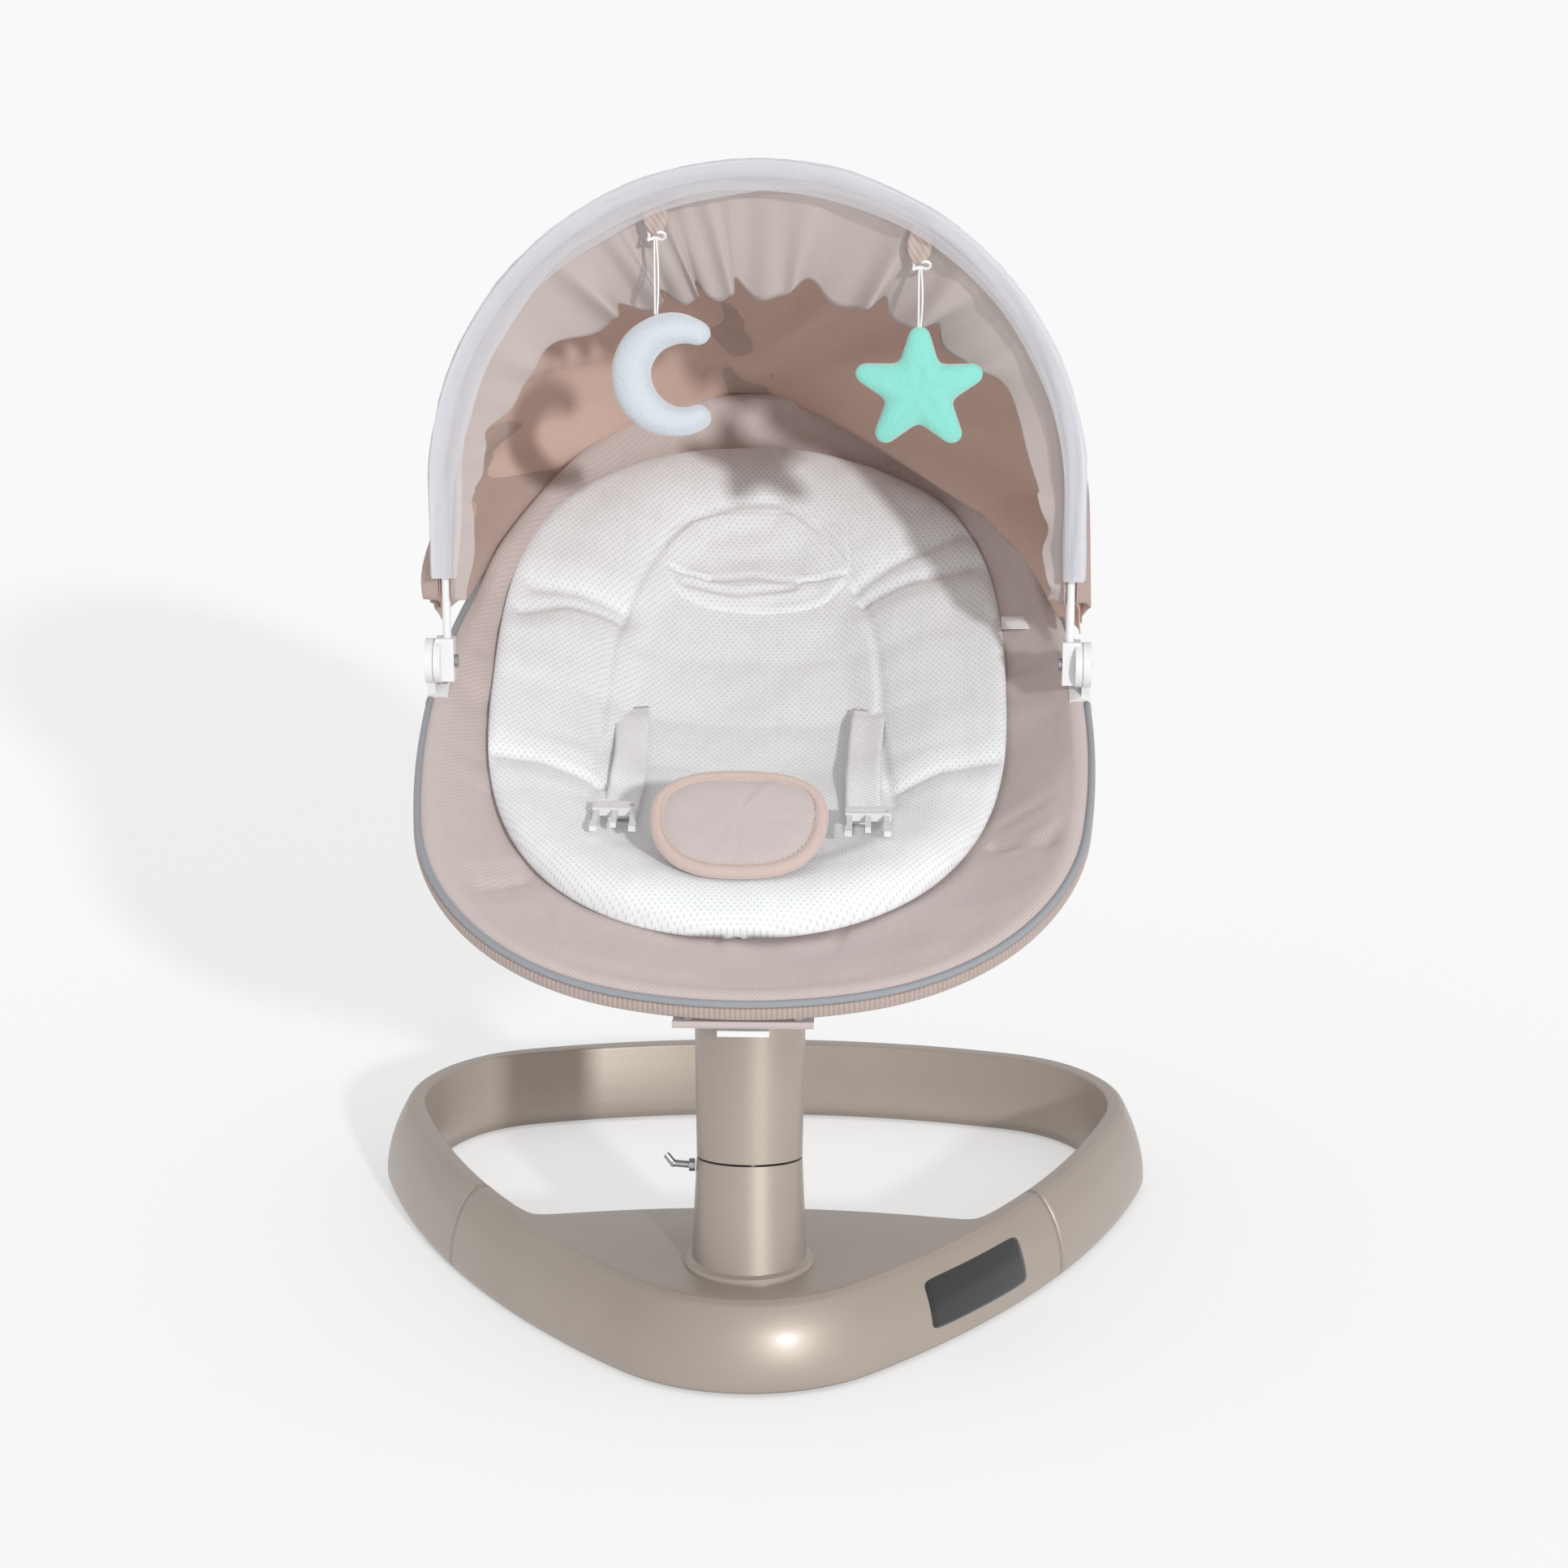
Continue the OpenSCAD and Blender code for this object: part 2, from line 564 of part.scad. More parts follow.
upper_base = lower_len + seam_gap;
web_t = 6;
spindle_rise = 78;               // the spindle's length inside the upper column
spindle_top = upper_base + spindle_rise;
module upper_column() {
  inner_r = column_seam_r - column_wall;
  color(champagne) on_column() {
    difference() {
      translate([0, 0, upper_base])
        cylinder(r1 = column_seam_r, r2 = column_top_r, h = upper_top - upper_base);
      translate([0, 0, upper_base - 1]) cylinder(r = inner_r, h = upper_top);
    }
    for (z = [upper_base + 2, spindle_top - web_t - 4])
      translate([0, 0, z]) ring(inner_r + 1, spindle_r + run_gap, web_t);
  }
}
module spindle() {
  color(steel) on_column() {
    translate([0, 0, arm_z - 4]) cylinder(r = spindle_r, h = spindle_top - arm_z + 4);
    translate([0, 0, housing_top - 1 + run_gap])
      cylinder(r = spindle_r + 3, h = upper_base - housing_top + 2.5);
  }
}

// Steel lever that locks the swing, pivoted on the lower column's left side.
lever_pivot_z = lower_len - 6;
lever_r = 2.4;
lever_reach = 20;
lever_at = -(column_seam_r + 1.2);
module lock_lever() {
  color(steel) on_column() {
    translate([lever_at - 4, 0, lever_pivot_z]) rotate([0, 90, 0]) cylinder(r = 4.5, h = 4);
    bent_tube([[lever_at - 3, 0, lever_pivot_z], [lever_at - lever_reach + 5, 0, lever_pivot_z + 1],
               [lever_at - lever_reach, 0, lever_pivot_z + 7]], lever_r);
  }
}

// --- seat hub, yoke and recline pin -------------------------------------------
hub_z = upper_top + 26;          // recline pin, along the column's axis
hub_half = 22;                   // half the knuckle's width
spigot_l = 20;
module seat_hub() {
  color([0.62, 0.63, 0.65]) on_column() difference() {
    union() {
      translate([0, 0, upper_top - spigot_l])
        cylinder(r = column_seam_r - column_wall - 0.1, h = spigot_l + 1);
      translate([0, 0, upper_top + 0.2]) cylinder(r = column_top_r, h = 4);
      translate([-hub_half, -knuckle_r + 2, upper_top + 1])
        cube([2 * hub_half, 2 * knuckle_r - 4, hub_z - upper_top - 1]);
      translate([-hub_half, 0, hub_z]) rotate([0, 90, 0]) cylinder(r = knuckle_r, h = 2 * hub_half);
    }
    translate([-hub_half - 1, 0, hub_z]) rotate([0, 90, 0])
      cylinder(r = pin_r + run_gap, h = 2 * hub_half + 2);
  }
}
hub_y = column_y + hub_z * sin(column_lean);
hub_world_z = base_h + hub_z * cos(column_lean);
ear_t = 8;
ear_x = hub_half + 1;
yoke_plate_z = knuckle_r + 3;    // above the pin
yoke_plate_t = 6;
yoke_back = 42;
yoke_front = 34;
yoke_side = ear_x + ear_t + 8;
stem_w = 18;                     // the recline lever's stem
stem_t = 5;
guide_w = stem_w + 8;
guide_h = stem_t + 4;
guide_l = 12;
module seat_yoke() {
  color([0.35, 0.35, 0.37]) translate([0, hub_y, hub_world_z]) difference() {
    union() {
      for (side = [-1, 1]) translate([side * (ear_x + ear_t / 2) - ear_t / 2, 0, 0]) {
        rotate([0, 90, 0]) cylinder(r = knuckle_r + 1, h = ear_t);
        translate([0, -knuckle_r, 0]) cube([ear_t, 2 * knuckle_r, yoke_plate_z + 1]);
      }
      translate([-yoke_side, -yoke_front, yoke_plate_z])
        cube([2 * yoke_side, yoke_front + yoke_back, yoke_plate_t]);
      // Guide under the plate that the recline lever slides in.
      translate([-guide_w / 2, -yoke_front, yoke_plate_z - guide_h]) cube([guide_w, guide_l, guide_h + 1]);
    }
    translate([-60, 0, 0]) rotate([0, 90, 0]) cylinder(r = pin_r + run_gap, h = 120);
    translate([-stem_w / 2 - seat_gap, -yoke_front - 1, yoke_plate_z - stem_t - 2 * seat_gap])
      cube([stem_w + 2 * seat_gap, guide_l + 2, stem_t + 2 * seat_gap]);
  }
}
module recline_pin() {
  half = ear_x + ear_t;
  color(steel) translate([0, hub_y, hub_world_z]) rotate([0, 90, 0]) {
    translate([0, 0, -half - 1]) cylinder(r = pin_r, h = 2 * half + 2);
    translate([0, 0, -half - 4]) cylinder(r = pin_r + 3, h = 3.8);
  }
}
// --- seat: places in the loop's own frame -----------------------------------
// Loop frame: origin at the piping's foot end, +Y up the slope, +Z out of it.
module on_seat() {
  translate([0, -seat_foot_setback, seat_foot_z]) rotate([seat_tilt, 0, 0]) children();
}
function seat_point(p) = [p[0],
  -seat_foot_setback + p[1] * cos(seat_tilt) - p[2] * sin(seat_tilt),
  seat_foot_z + p[1] * sin(seat_tilt) + p[2] * cos(seat_tilt)];
centre_line = grown(loop, -frame_inset);
hinge = seat_point([0, hinge_s, hinge_lift]);
split_a = normal_at(centre_line, hinge_s);       // where the two frame tubes meet
tube_sides = 14;

// A profile carried round an outline in two lengths, foot and head, that stop
// short of each canopy hinge by the given angle.
module in_two(o, gap, profile) {
  foot_length(o, gap, profile);
  head_length(o, gap, profile);
}
module foot_length(o, gap, profile) {
  along_outline(o, -180 - split_a + gap, split_a - gap, 48, profile);
}
module head_length(o, gap, profile) {
  along_outline(o, split_a + gap, 180 - split_a - gap, 40, profile);
}
tube_gap = 0.02;
module frame_foot_tube() {
  color(steel) on_seat() translate([0, 0, -frame_drop])
    foot_length(centre_line, tube_gap, round_profile(frame_r, tube_sides));
}
module frame_head_tube() {
  color(steel) on_seat() translate([0, 0, -frame_drop])
    head_length(centre_line, tube_gap, round_profile(frame_r, tube_sides));
}
clip_l = 24;                     // length of a canopy hinge's clip along the tube
clip_gap = (clip_l / 2 + cloth_gap) / loop[1][2] * 180 / PI;
module cover_piping() {
  color([0.60, 0.62, 0.65]) on_seat() in_two(grown(loop, -piping_r), clip_gap, round_profile(piping_r, 8));
}
band_t = 1.4;
sleeve_t = 1.2;
sleeve_r = frame_r + 0.4;
// The cover's edge: a band down the outside of the tube, and a sleeve over it.
module cover_band() {
  top = -piping_r - 0.4;
  low = -band_hang;
  color(taupe) on_seat() {
    in_two(loop, clip_gap, [[-band_t, top], [-band_t, low + 0.8], [-2, low + 0.8], [-2, low],
      [-0.8, low], [0, low + 1.5], [0, top]]);
    translate([0, 0, -frame_drop]) in_two(centre_line, clip_gap,
      [for (a = steps(66, 150, 4)) (sleeve_r + sleeve_t) * heading(a),
       for (a = steps(150, 66, 4)) sleeve_r * heading(a)]);
  }
}

// --- cradle: welded tubes from the yoke to the loop ----------------------------
cradle_r = cradle_d / 2;
strut_r = strut_d / 2;
weld_gap = 0.2;
plate_under = hub_world_z + yoke_plate_z;
cradle_end_s = hinge_s + 62;
cradle_end_x = half_width(centre_line, cradle_end_s);
module cradle(side) {
  start_z = plate_under - cradle_r - weld_gap;
  end = seat_point([side * cradle_end_x, cradle_end_s, -frame_drop]);
  color(steel) bent_tube([[side * (yoke_side - cradle_r - 3), hub_y + knuckle_r + cradle_r + 3, start_z],
    [side * (yoke_side + 22), hub_y + 70, start_z - 2],
    [side * (cradle_end_x + 2), end[1] - 24, end[2] - 86],
    end], cradle_r);
}
module cradle_left() {
  cradle(-1);
}
module cradle_right() {
  cradle(1);
}
strut_x = 36;                    // where a strut meets the frame's foot end
strut_s = strut_x * strut_x / (2 * seat_foot_r) + frame_inset;
strut_from = [yoke_side - 9, hub_y - knuckle_r - 6, plate_under - strut_r - weld_gap];
strut_to = seat_point([strut_x, strut_s, -frame_drop - frame_r - strut_r + 1]);
module foot_struts() {
  color(steel) for (side = [0, 1]) mirror([side, 0, 0]) bar(strut_from, strut_to, strut_r);
}
// Soft apron below the struts, which closes the cover's underside in front.
apron_w = 92;
apron_l = 50;
apron_t = 2.2;
module cover_apron() {
  rise = (strut_from[2] - strut_to[2]) / (strut_from[1] - strut_to[1]);
  front = strut_to[1] - 8;
  under = strut_to[2] - strut_r - 0.5;
  color(taupe) translate([-apron_w / 2, 0, 0]) rotate([90, 0, 90]) linear_extrude(apron_w)
    polygon([[front - 2, under + 3], [front - 2, under], [front, under - apron_t],
             [front + apron_l, under - apron_t + rise * (apron_l - 6)],
             [front + apron_l, under + rise * (apron_l - 6)], [front + 6, under], [front, under + 3]]);
}

// --- seat cover: a padded tub hung in the loop --------------------------------
tub_inset = frame_inset + frame_r + cloth_gap;
rim_drop = 4;
tub = grown(loop, -tub_inset);
tub_end = 1.5;                   // the tub's grid stops this far short of its two ends
// Depth of the hollow along the slope: [share of the length, share of the depth].
hollow = [[0, 0], [0.08, 0.12], [0.16, 0.28], [0.24, 0.48], [0.34, 0.78], [0.44, 0.96], [0.52, 1],
          [0.62, 0.94], [0.74, 0.72], [0.86, 0.38], [0.94, 0.14], [1, 0]];
function depth_at(s) = tub_depth * lookup(s / seat_l, hollow);
function tub_n(x, s) = let(share = min(1, abs(x) / half_width(tub, s)))
  -rim_drop - depth_at(s) * (1 - pow(share, 2.4));
function eased(a, b, n) = [for (i = [0:n]) a + (b - a) * (1 - cos(180 * i / n)) / 2];
function across(n) = [for (j = [0:n]) sin(90 * (2 * j / n - 1))];
module seat_cover() {
  rows = eased(tub_end + tub_inset, seat_l - tub_inset - tub_end, 26);
  inside = [for (s = rows) let(w = half_width(tub, s)) [for (t = across(20)) [t * w, s, tub_n(t * w, s)]]];
  outside = [for (row = inside) [for (p = row) p - [0, 0, cover_t]]];
  color(taupe) on_seat() thick_grid(outside, inside);
}

// --- liner pad, head support, harness ------------------------------------------
liner_end = seat_l - liner_head_gap;
liner_mid = (liner_start + liner_end) / 2;
liner_half = (liner_end - liner_start) / 2;
// Half the liner's width; it lies about x = liner_x.
function liner_w_at(s) = liner_w / 2 * pow(1 - pow(abs(s - liner_mid) / liner_half, 2.6), 1 / 2.2);
function liner_under(x, s) = tub_n(x, s) + pad_gap;
function liner_top(x, s) =
  let(t = min(1, abs(x - liner_x) / liner_w_at(s)), u = abs(s - liner_mid) / liner_half)
  liner_under(x, s) + liner_t * (1 - 0.7 * pow(t, 5)) * (1 - 0.6 * pow(u, 8));
// A soft patch of given thickness on the liner, whose first row is lifted.
module liner_patch(xs, ss, gap, thick, lift = 0) {
  low = [for (s = ss) [for (x = xs) [x, s, liner_top(x, s) + gap + (s == ss[0] ? lift : 0)]]];
  high = [for (row = low) [for (p = row) p + [0, 0, thick]]];
  on_seat() thick_grid(low, high);
}
module liner_pad() {
  rows = eased(liner_mid - 0.985 * liner_half, liner_mid + 0.985 * liner_half, 22);
  xs = function (s) [for (t = across(16)) liner_x + t * liner_w_at(s)];
  high = [for (s = rows) [for (x = xs(s)) [x, s, liner_top(x, s)]]];
  low = [for (s = rows) [for (x = xs(s)) [x, s, liner_under(x, s)]]];
  color(white_cloth) on_seat() thick_grid(low, high);
}
support_from_edge = 118;         // liner's head edge to the support's middle
support_s = liner_end - support_from_edge;
support_l = 96;
support_w = 150;
support_t = 9;
module head_support() {
  rows = steps(-0.97, 0.97, 10);
  grid = [for (v = rows) let(half = support_w / 2 * pow(1 - pow(abs(v), 2.4), 1 / 2.4))
    [for (t = across(8)) [liner_x + t * half, support_s + v * support_l / 2, t]]];
  low = [for (row = grid) [for (p = row) [p[0], p[1], liner_top(p[0], p[1]) + pad_gap]]];
  high = [for (i = [0:len(grid) - 1]) [for (j = [0:8])
    let(t = abs(grid[i][j][2]), v = abs(rows[i]))
    low[i][j] + [0, 0, support_t * (1 - 0.7 * pow(t, 3)) * (1 - 0.5 * pow(v, 4))]]];
  color(white_cloth) on_seat() thick_grid(low, high);
}
strap_x = 88;                    // middle of a waist strap
strap_top_s = 366;
strap_end_s = 216;
strap_end_lift = 1.2;            // the strap's end rises to its buckle
module strap(side) {
  xs = [for (k = steps(-1, 1, 4)) liner_x + side * strap_x + k * strap_w / 2];
  color(white_cloth)
    liner_patch(xs, steps(strap_end_s, strap_top_s, 8), pad_gap + seat_gap, strap_t, strap_end_lift);
}
module strap_left() {
  strap(-1);
}
module strap_right() {
  strap(1);
}
// A side-release buckle tongue, lying on the liner at the strap's end.
buckle_w = 32;
buckle_t = 6;
buckle_l = 40;
buckle_s = strap_end_s - seat_gap;
function slope_at(x, s) = atan((liner_top(x, s + 6) - liner_top(x, s - 6)) / 12);
module buckle(side) {
  x = liner_x + side * strap_x;
  s = buckle_s - buckle_l / 2;
  bar_l = 12;
  color(white_plastic) on_seat()
    translate([x, s, max([for (k = [-1, 0, 1]) for (j = [-1, 0, 1])
      liner_top(x + j * buckle_w / 2, s + k * buckle_l / 2) - k * buckle_l / 2 * tan(slope_at(x, s))])
      + pad_gap + seat_gap])
    rotate([slope_at(x, s), 0, 0]) {
      difference() {
        translate([-buckle_w / 2, buckle_l / 2 - bar_l, 0]) cube([buckle_w, bar_l, buckle_t]);
        translate([-strap_w / 2 - 0.5, buckle_l / 2 - bar_l + 4, -1]) cube([strap_w + 1, 3.5, buckle_t + 2]);
      }
      translate([-2, -buckle_l / 2 + 6, 1]) cube([4, buckle_l - bar_l - 6 + eps, buckle_t - 2]);
      for (arm = [-1, 1]) translate([arm * (buckle_w / 2 - 3) - 2, -buckle_l / 2, 1]) {
        cube([4, buckle_l - bar_l + eps, buckle_t - 2]);
        translate([arm > 0 ? 1 : -1, 0, 0]) cube([4, 9, buckle_t - 2]);
      }
    }
}
module buckle_left() {
  buckle(-1);
}
module buckle_right() {
  buckle(1);
}
// Crotch pad: a flat-topped oval that folds up about its rolled foot-side edge.
crotch_s = 122;                  // its hinge line
crotch_t = 9;
crotch_rise = 14;                // degrees that it stands up from the slope
crotch_roll = 50;                // length of the rolled edge
crotch_lift = crotch_t / 2 + cloth_gap + seat_gap;
crotch_pivot = seat_point([liner_x, crotch_s, liner_top(liner_x, crotch_s) + crotch_lift]);
module crotch_pad() {
  color(taupe) translate(crotch_pivot) rotate([seat_tilt + crotch_rise, 0, 0]) {
    translate([0, 0, -crotch_t / 2]) linear_extrude(crotch_t) polygon([for (a = [0:10:350])
      let(top = sin(a) > 0 ? 0.82 : 1.18)
      [crotch_w / 2 * sign(cos(a)) * pow(abs(cos(a)), 0.8),
       crotch_l * (0.59 + top * 0.5 * sign(sin(a)) * pow(abs(sin(a)), 0.85))]]);
    translate([-crotch_roll / 2, 0, 0]) rotate([0, 90, 0]) cylinder(r = crotch_t / 2, h = crotch_roll);
  }
}
tag_w = 22;
tag_s = 408;
tag_l = 14;
tag_t = 0.8;
tag_gap = 0.9;
module care_tag() {
  x0 = liner_x + liner_w_at(tag_s) - 2;
  xs = [x0, x0 + tag_w / 2, x0 + tag_w];
  base_n = max(liner_top(x0, tag_s), tub_n(x0 + tag_w, tag_s), tub_n(x0 + tag_w, tag_s + tag_l)) + tag_gap;
  color(white_cloth) on_seat() thick_grid(
    [for (s = [tag_s, tag_s + tag_l]) [for (x = xs) [x, s, base_n]]],
    [for (s = [tag_s, tag_s + tag_l]) [for (x = xs) [x, s, base_n + tag_t]]]);
}

// --- recline lever under the seat's foot end -----------------------------------
handle_w = 34;
handle_l = 22;
lever_t = 4;
lever_drop = 4;                  // the handle's top below the apron
crank_y = hub_y - yoke_front - 36;
module recline_lever() {
  handle_z = strut_to[2] - strut_r - apron_t - lever_drop - lever_t;
  stem_z = plate_under - stem_t - seat_gap;
  color(white_plastic) {
    translate([-handle_w / 2, strut_to[1] - 3, handle_z]) cube([handle_w, handle_l, lever_t]);
    translate([-stem_w / 2, strut_to[1] + handle_l - 4, handle_z])
      cube([stem_w, crank_y - strut_to[1] - handle_l + 4 + lever_t, lever_t]);
    translate([-stem_w / 2, crank_y, handle_z]) cube([stem_w, lever_t, stem_z + stem_t - handle_z]);
    translate([-stem_w / 2, crank_y, stem_z]) cube([stem_w, hub_y - knuckle_r - 4 - crank_y, stem_t]);
  }
}

// --- canopy hinge ----------------------------------------------------------------
bow_r = seat_w / 2 - bow_inset;  // half the bow's width, at its rod's centre
knuckle_in = bow_r - bow_d / 2 - 2;
knuckle_out = bow_r + bow_d / 2 + 6;
ear_out_t = 6;
hinge_screw_r = 2.5;
clip_wall = 4;
disc_r = 16;                     // the hinge's discs, on the knuckle and on the clip
clip_r = frame_r + cloth_gap;
module hinge_clip(side) {
  ear_from = knuckle_out + 0.4;
  tangent = -normal_at(centre_line, hinge_s);
  color(white_plastic) mirror([side < 0 ? 1 : 0, 0, 0]) on_seat() difference() {
    union() {
      translate([half_width(centre_line, hinge_s), hinge_s, -frame_drop]) rotate([0, 0, -tangent])
        rotate([90, 0, 0]) translate([0, 0, -clip_l / 2]) cylinder(r = clip_r + clip_wall, h = clip_l);
      translate([ear_from, hinge_s - 9, -frame_drop]) cube([ear_out_t, 18, hinge_lift + frame_drop]);
      translate([ear_from, hinge_s, hinge_lift]) rotate([0, 90, 0]) cylinder(r = disc_r, h = ear_out_t);
    }
    translate([half_width(centre_line, hinge_s), hinge_s, -frame_drop]) rotate([0, 0, -tangent])
      rotate([90, 0, 0]) translate([0, 0, -clip_l]) cylinder(r = clip_r, h = 2 * clip_l);
    translate([0, hinge_s, hinge_lift]) rotate([0, 90, 0]) cylinder(r = hinge_screw_r + run_gap, h = 300);
    // Open towards the seat, so that the clip snaps on past the cover.
    translate([half_width(centre_line, hinge_s) - frame_r + cloth_gap - big, hinge_s - clip_l, -big / 2])
      cube(big);
  }
}
module hinge_clip_left() {
  hinge_clip(-1);
}
module hinge_clip_right() {
  hinge_clip(1);
}
module hinge_screws() {
  color(steel) on_seat() for (side = [0, 1]) mirror([side, 0, 0])
    translate([0, hinge_s, hinge_lift]) rotate([0, 90, 0]) {
      translate([0, 0, knuckle_in - 2.4]) cylinder(r = 4.6, h = 2.2);
      translate([0, 0, knuckle_in - 2.4])
        cylinder(r = hinge_screw_r, h = knuckle_out + ear_out_t - knuckle_in + 4);
    }
}

// --- canopy: drawn about the hinge axis --------------------------------------------
// Canopy frame: origin on the hinge axis, +Z up; turned about X by the fold angle.
module on_hinge() {
  translate(hinge) children();
}
disc_t = 5;
block_w = 13;                    // the knuckle's inner block, front to back
bow_end = 4;                     // the rod's lower end above the hinge axis
module hinge_knuckle(side) {
  color(white_plastic) on_hinge() mirror([side < 0 ? 1 : 0, 0, 0]) difference() {
    union() {
      translate([knuckle_out - disc_t, 0, 0]) rotate([0, 90, 0]) cylinder(r = disc_r, h = disc_t);
      translate([knuckle_in, -block_w / 2, 2 - disc_r])
        cube([knuckle_out - knuckle_in - 1, block_w, 2 * disc_r - 1]);
    }
    rotate([0, 90, 0]) cylinder(r = hinge_screw_r + run_gap, h = 300);
    translate([bow_r, 0, bow_end]) cylinder(r = bow_d / 2 + run_gap, h = 2 * disc_r);
  }
}
module hinge_knuckle_left() {
  hinge_knuckle(-1);
}
module hinge_knuckle_right() {
  hinge_knuckle(1);
}
module canopy_bow() {
  color(white_plastic) on_hinge() {
    for (side = [-1, 1]) translate([side * bow_r, 0, bow_end + weld_gap])
      cylinder(r = bow_d / 2, h = bow_leg - bow_end - weld_gap);
    translate([0, 0, bow_leg]) rotate([90, 0, 0]) rotate_extrude(angle = 180, $fn = 144)
      translate([bow_r, 0]) circle(d = bow_d);
  }
}
// A point of an arch: t runs from 0, low on the right leg, through 0.5 at the
// crown to 1 on the left; r is the arch's radius and low the leg's lower end.
function arch_point(t, r, low) =
  let(leg = bow_leg - low, arc = PI * r, d = t * (2 * leg + arc))
  d < leg ? [r, low + d] : d < leg + arc
    ? let(a = (d - leg) / r * 180 / PI) [r * cos(a), bow_leg + r * sin(a)]
    : [-r, bow_leg - (d - leg - arc)];
// The arch turned about the hinge axis; turn is 0 upright, positive to the back.
function turned(p, turn) = [p[0], p[1] * sin(turn), p[1] * cos(turn)];
net_in = bow_r - bow_d / 2 + 0.5;    // inner and outer radius of the rolled net
net_out = net_in + net_w;
hood_front_r = bow_r + bow_d / 2 + 0.5;
hood_rear_r = net_out + 1;
hood_low = 44;                   // where the cloth's lower corner starts, up the leg
hood_split = 30;                 // turn at which the rear panel takes over
hood_tuck = 60;                  // turn past which the rear panel draws in to the rim
arch_n = 30;
module hood_front_panel() {
  rows = [for (turn = steps(0, hood_split - 0.1, 6))
    [turn, mix(hood_front_r, hood_rear_r, smooth(turn / hood_split))]];
  color(taupe) on_hinge() thick_grid(
    [for (row = rows) [for (j = [0:arch_n])
      turned(arch_point(j / arch_n, row[1] + hood_t, hood_low), row[0])]],
    [for (row = rows) [for (j = [0:arch_n]) turned(arch_point(j / arch_n, row[1], hood_low), row[0])]]);
}
// The rear panel comes down to the piping round the loop's head end.
rim_line = grown(loop, -piping_r);
rim_start = normal_at(rim_line, hinge_s + 100);
rim_side = (rim_line[2][3] - rim_start) * PI / 180 * rim_line[1][2];
rim_end = (90 - rim_line[2][3]) * PI / 180 * rim_line[1][3];
function rim_turn(d) = d < rim_side ? rim_start + d / rim_line[1][2] * 180 / PI
  : rim_line[2][3] + (d - rim_side) / rim_line[1][3] * 180 / PI;
// A point of the rim in the hinge's own terms: [x, distance from the axis, turn].
function rim_polar(t, by) =
  let(a = rim_turn((rim_side + rim_end) * (1 - abs(1 - 2 * t))), p = outline_point(grown(rim_line, by), a),
      along = p[1] - hinge_s, up = piping_r + cloth_gap - hinge_lift,
      y = along * cos(seat_tilt) - up * sin(seat_tilt), z = along * sin(seat_tilt) + up * cos(seat_tilt))
  [t < 0.5 ? p[0] : -p[0], norm([y, z]), atan2(y, z)];
function rear_point(t, k, r, by) =
  let(a = arch_point(t, r, hood_low), b = rim_polar(t, by), turn = mix(hood_split, b[2], k),
      w = smooth((turn - hood_tuck) / (b[2] - hood_tuck)))
  turned([mix(a[0], b[0], w), mix(a[1], b[1], w)], turn);
module hood_rear_panel() {
  rows = steps(0, 1, 11);
  color(taupe) on_hinge() thick_grid(
    [for (k = rows) [for (j = [0:arch_n]) rear_point(j / arch_n, k, hood_rear_r + hood_t, hood_t / 2)]],
    [for (k = rows) [for (j = [0:arch_n]) rear_point(j / arch_n, k, hood_rear_r, -hood_t / 2)]]);
}
// Gathered valance: a crescent hung inside the bow, leaning back into the hood.
valance_lean = 26;
valance_t = 1.6;
function valance_share(t) = 0.14 + 0.86 * pow(sin(180 * t), 1.9);
module hood_valance() {
  r = bow_r - bow_d / 2 - seat_gap;
  c = [0, bow_leg];
  grid = [for (k = [0:4]) [for (j = [0:arch_n])
    let(p = arch_point(j / arch_n, r, hood_low), v = valance_drop * valance_share(j / arch_n) * k / 4,
        q = p[1] > bow_leg ? p + (c - p) / norm(c - p) * v * cos(valance_lean) : p - [sign(p[0]) * v, 0])
    [q[0], v * sin(valance_lean), q[1]]]];
  half = [0, valance_t / 2, 0];
  color(taupe) on_hinge() thick_grid([for (row = grid) [for (p = row) p + half]],
                                     [for (row = grid) [for (p = row) p - half]]);
}
// Rolled mosquito net along the front of the bow.
net_low = 62;
net_deep = 9;
module net_bundle() {
  front = -(bow_d / 2 + seat_gap);
  loops = [for (j = [0:arch_n]) let(t = j / arch_n, deep = net_deep * (0.6 + 0.4 * sin(180 * t)))
    [for (a = [315:-45:0]) let(p = arch_point(t, (net_in + net_out) / 2 + net_w / 2 * cos(a), net_low))
      [p[0], front - deep / 2 + deep / 2 * sin(a), p[1]]]];
  color(white_cloth) on_hinge() swept(loops);
}

// --- toys -----------------------------------------------------------------------
moon_x = -70;
star_x = 113;
loop_hang = 30;                  // a toy loop's reach below the bow
toy_y = -2.6;                      // toys hang this far in front of the hinge axis
moon_string = 54;
star_string = 43;
function bow_z(x) = hinge[2] + bow_leg + sqrt(bow_r * bow_r - x * x);
function toy_pivot(x) = [x, hinge[1] + toy_y, bow_z(x) - bow_d / 2 - loop_hang];
moon_pivot = toy_pivot(moon_x);
star_pivot = toy_pivot(star_x);
tape_w = 12;
cheek_w = 6;                     // the loop's cloth on each side of a cord
cord_r = toy_cord_d / 2;
// How far a loop's tape rises from its pivot to just under the bow's rod.
function tape_rise(x) = hinge[2] + bow_leg - toy_pivot(x)[2] - seat_gap
  + sqrt(pow(bow_r - bow_d / 2, 2) - pow(abs(x) + tape_w / 2, 2));
module toy_loops() {
  color(taupe) for (x = [moon_x, star_x]) translate(toy_pivot(x)) {
    translate([-tape_w / 2, -1, 1.2]) cube([tape_w, 2, tape_rise(x) - 1.2]);
    for (side = [-1, 1]) translate([side * (cord_r + seat_gap + cheek_w / 2), 0, -1])
      cube([cheek_w, 2, 8], center = true);
    translate([-8, -1, 0]) cube([16, 2, 3]);
  }
}
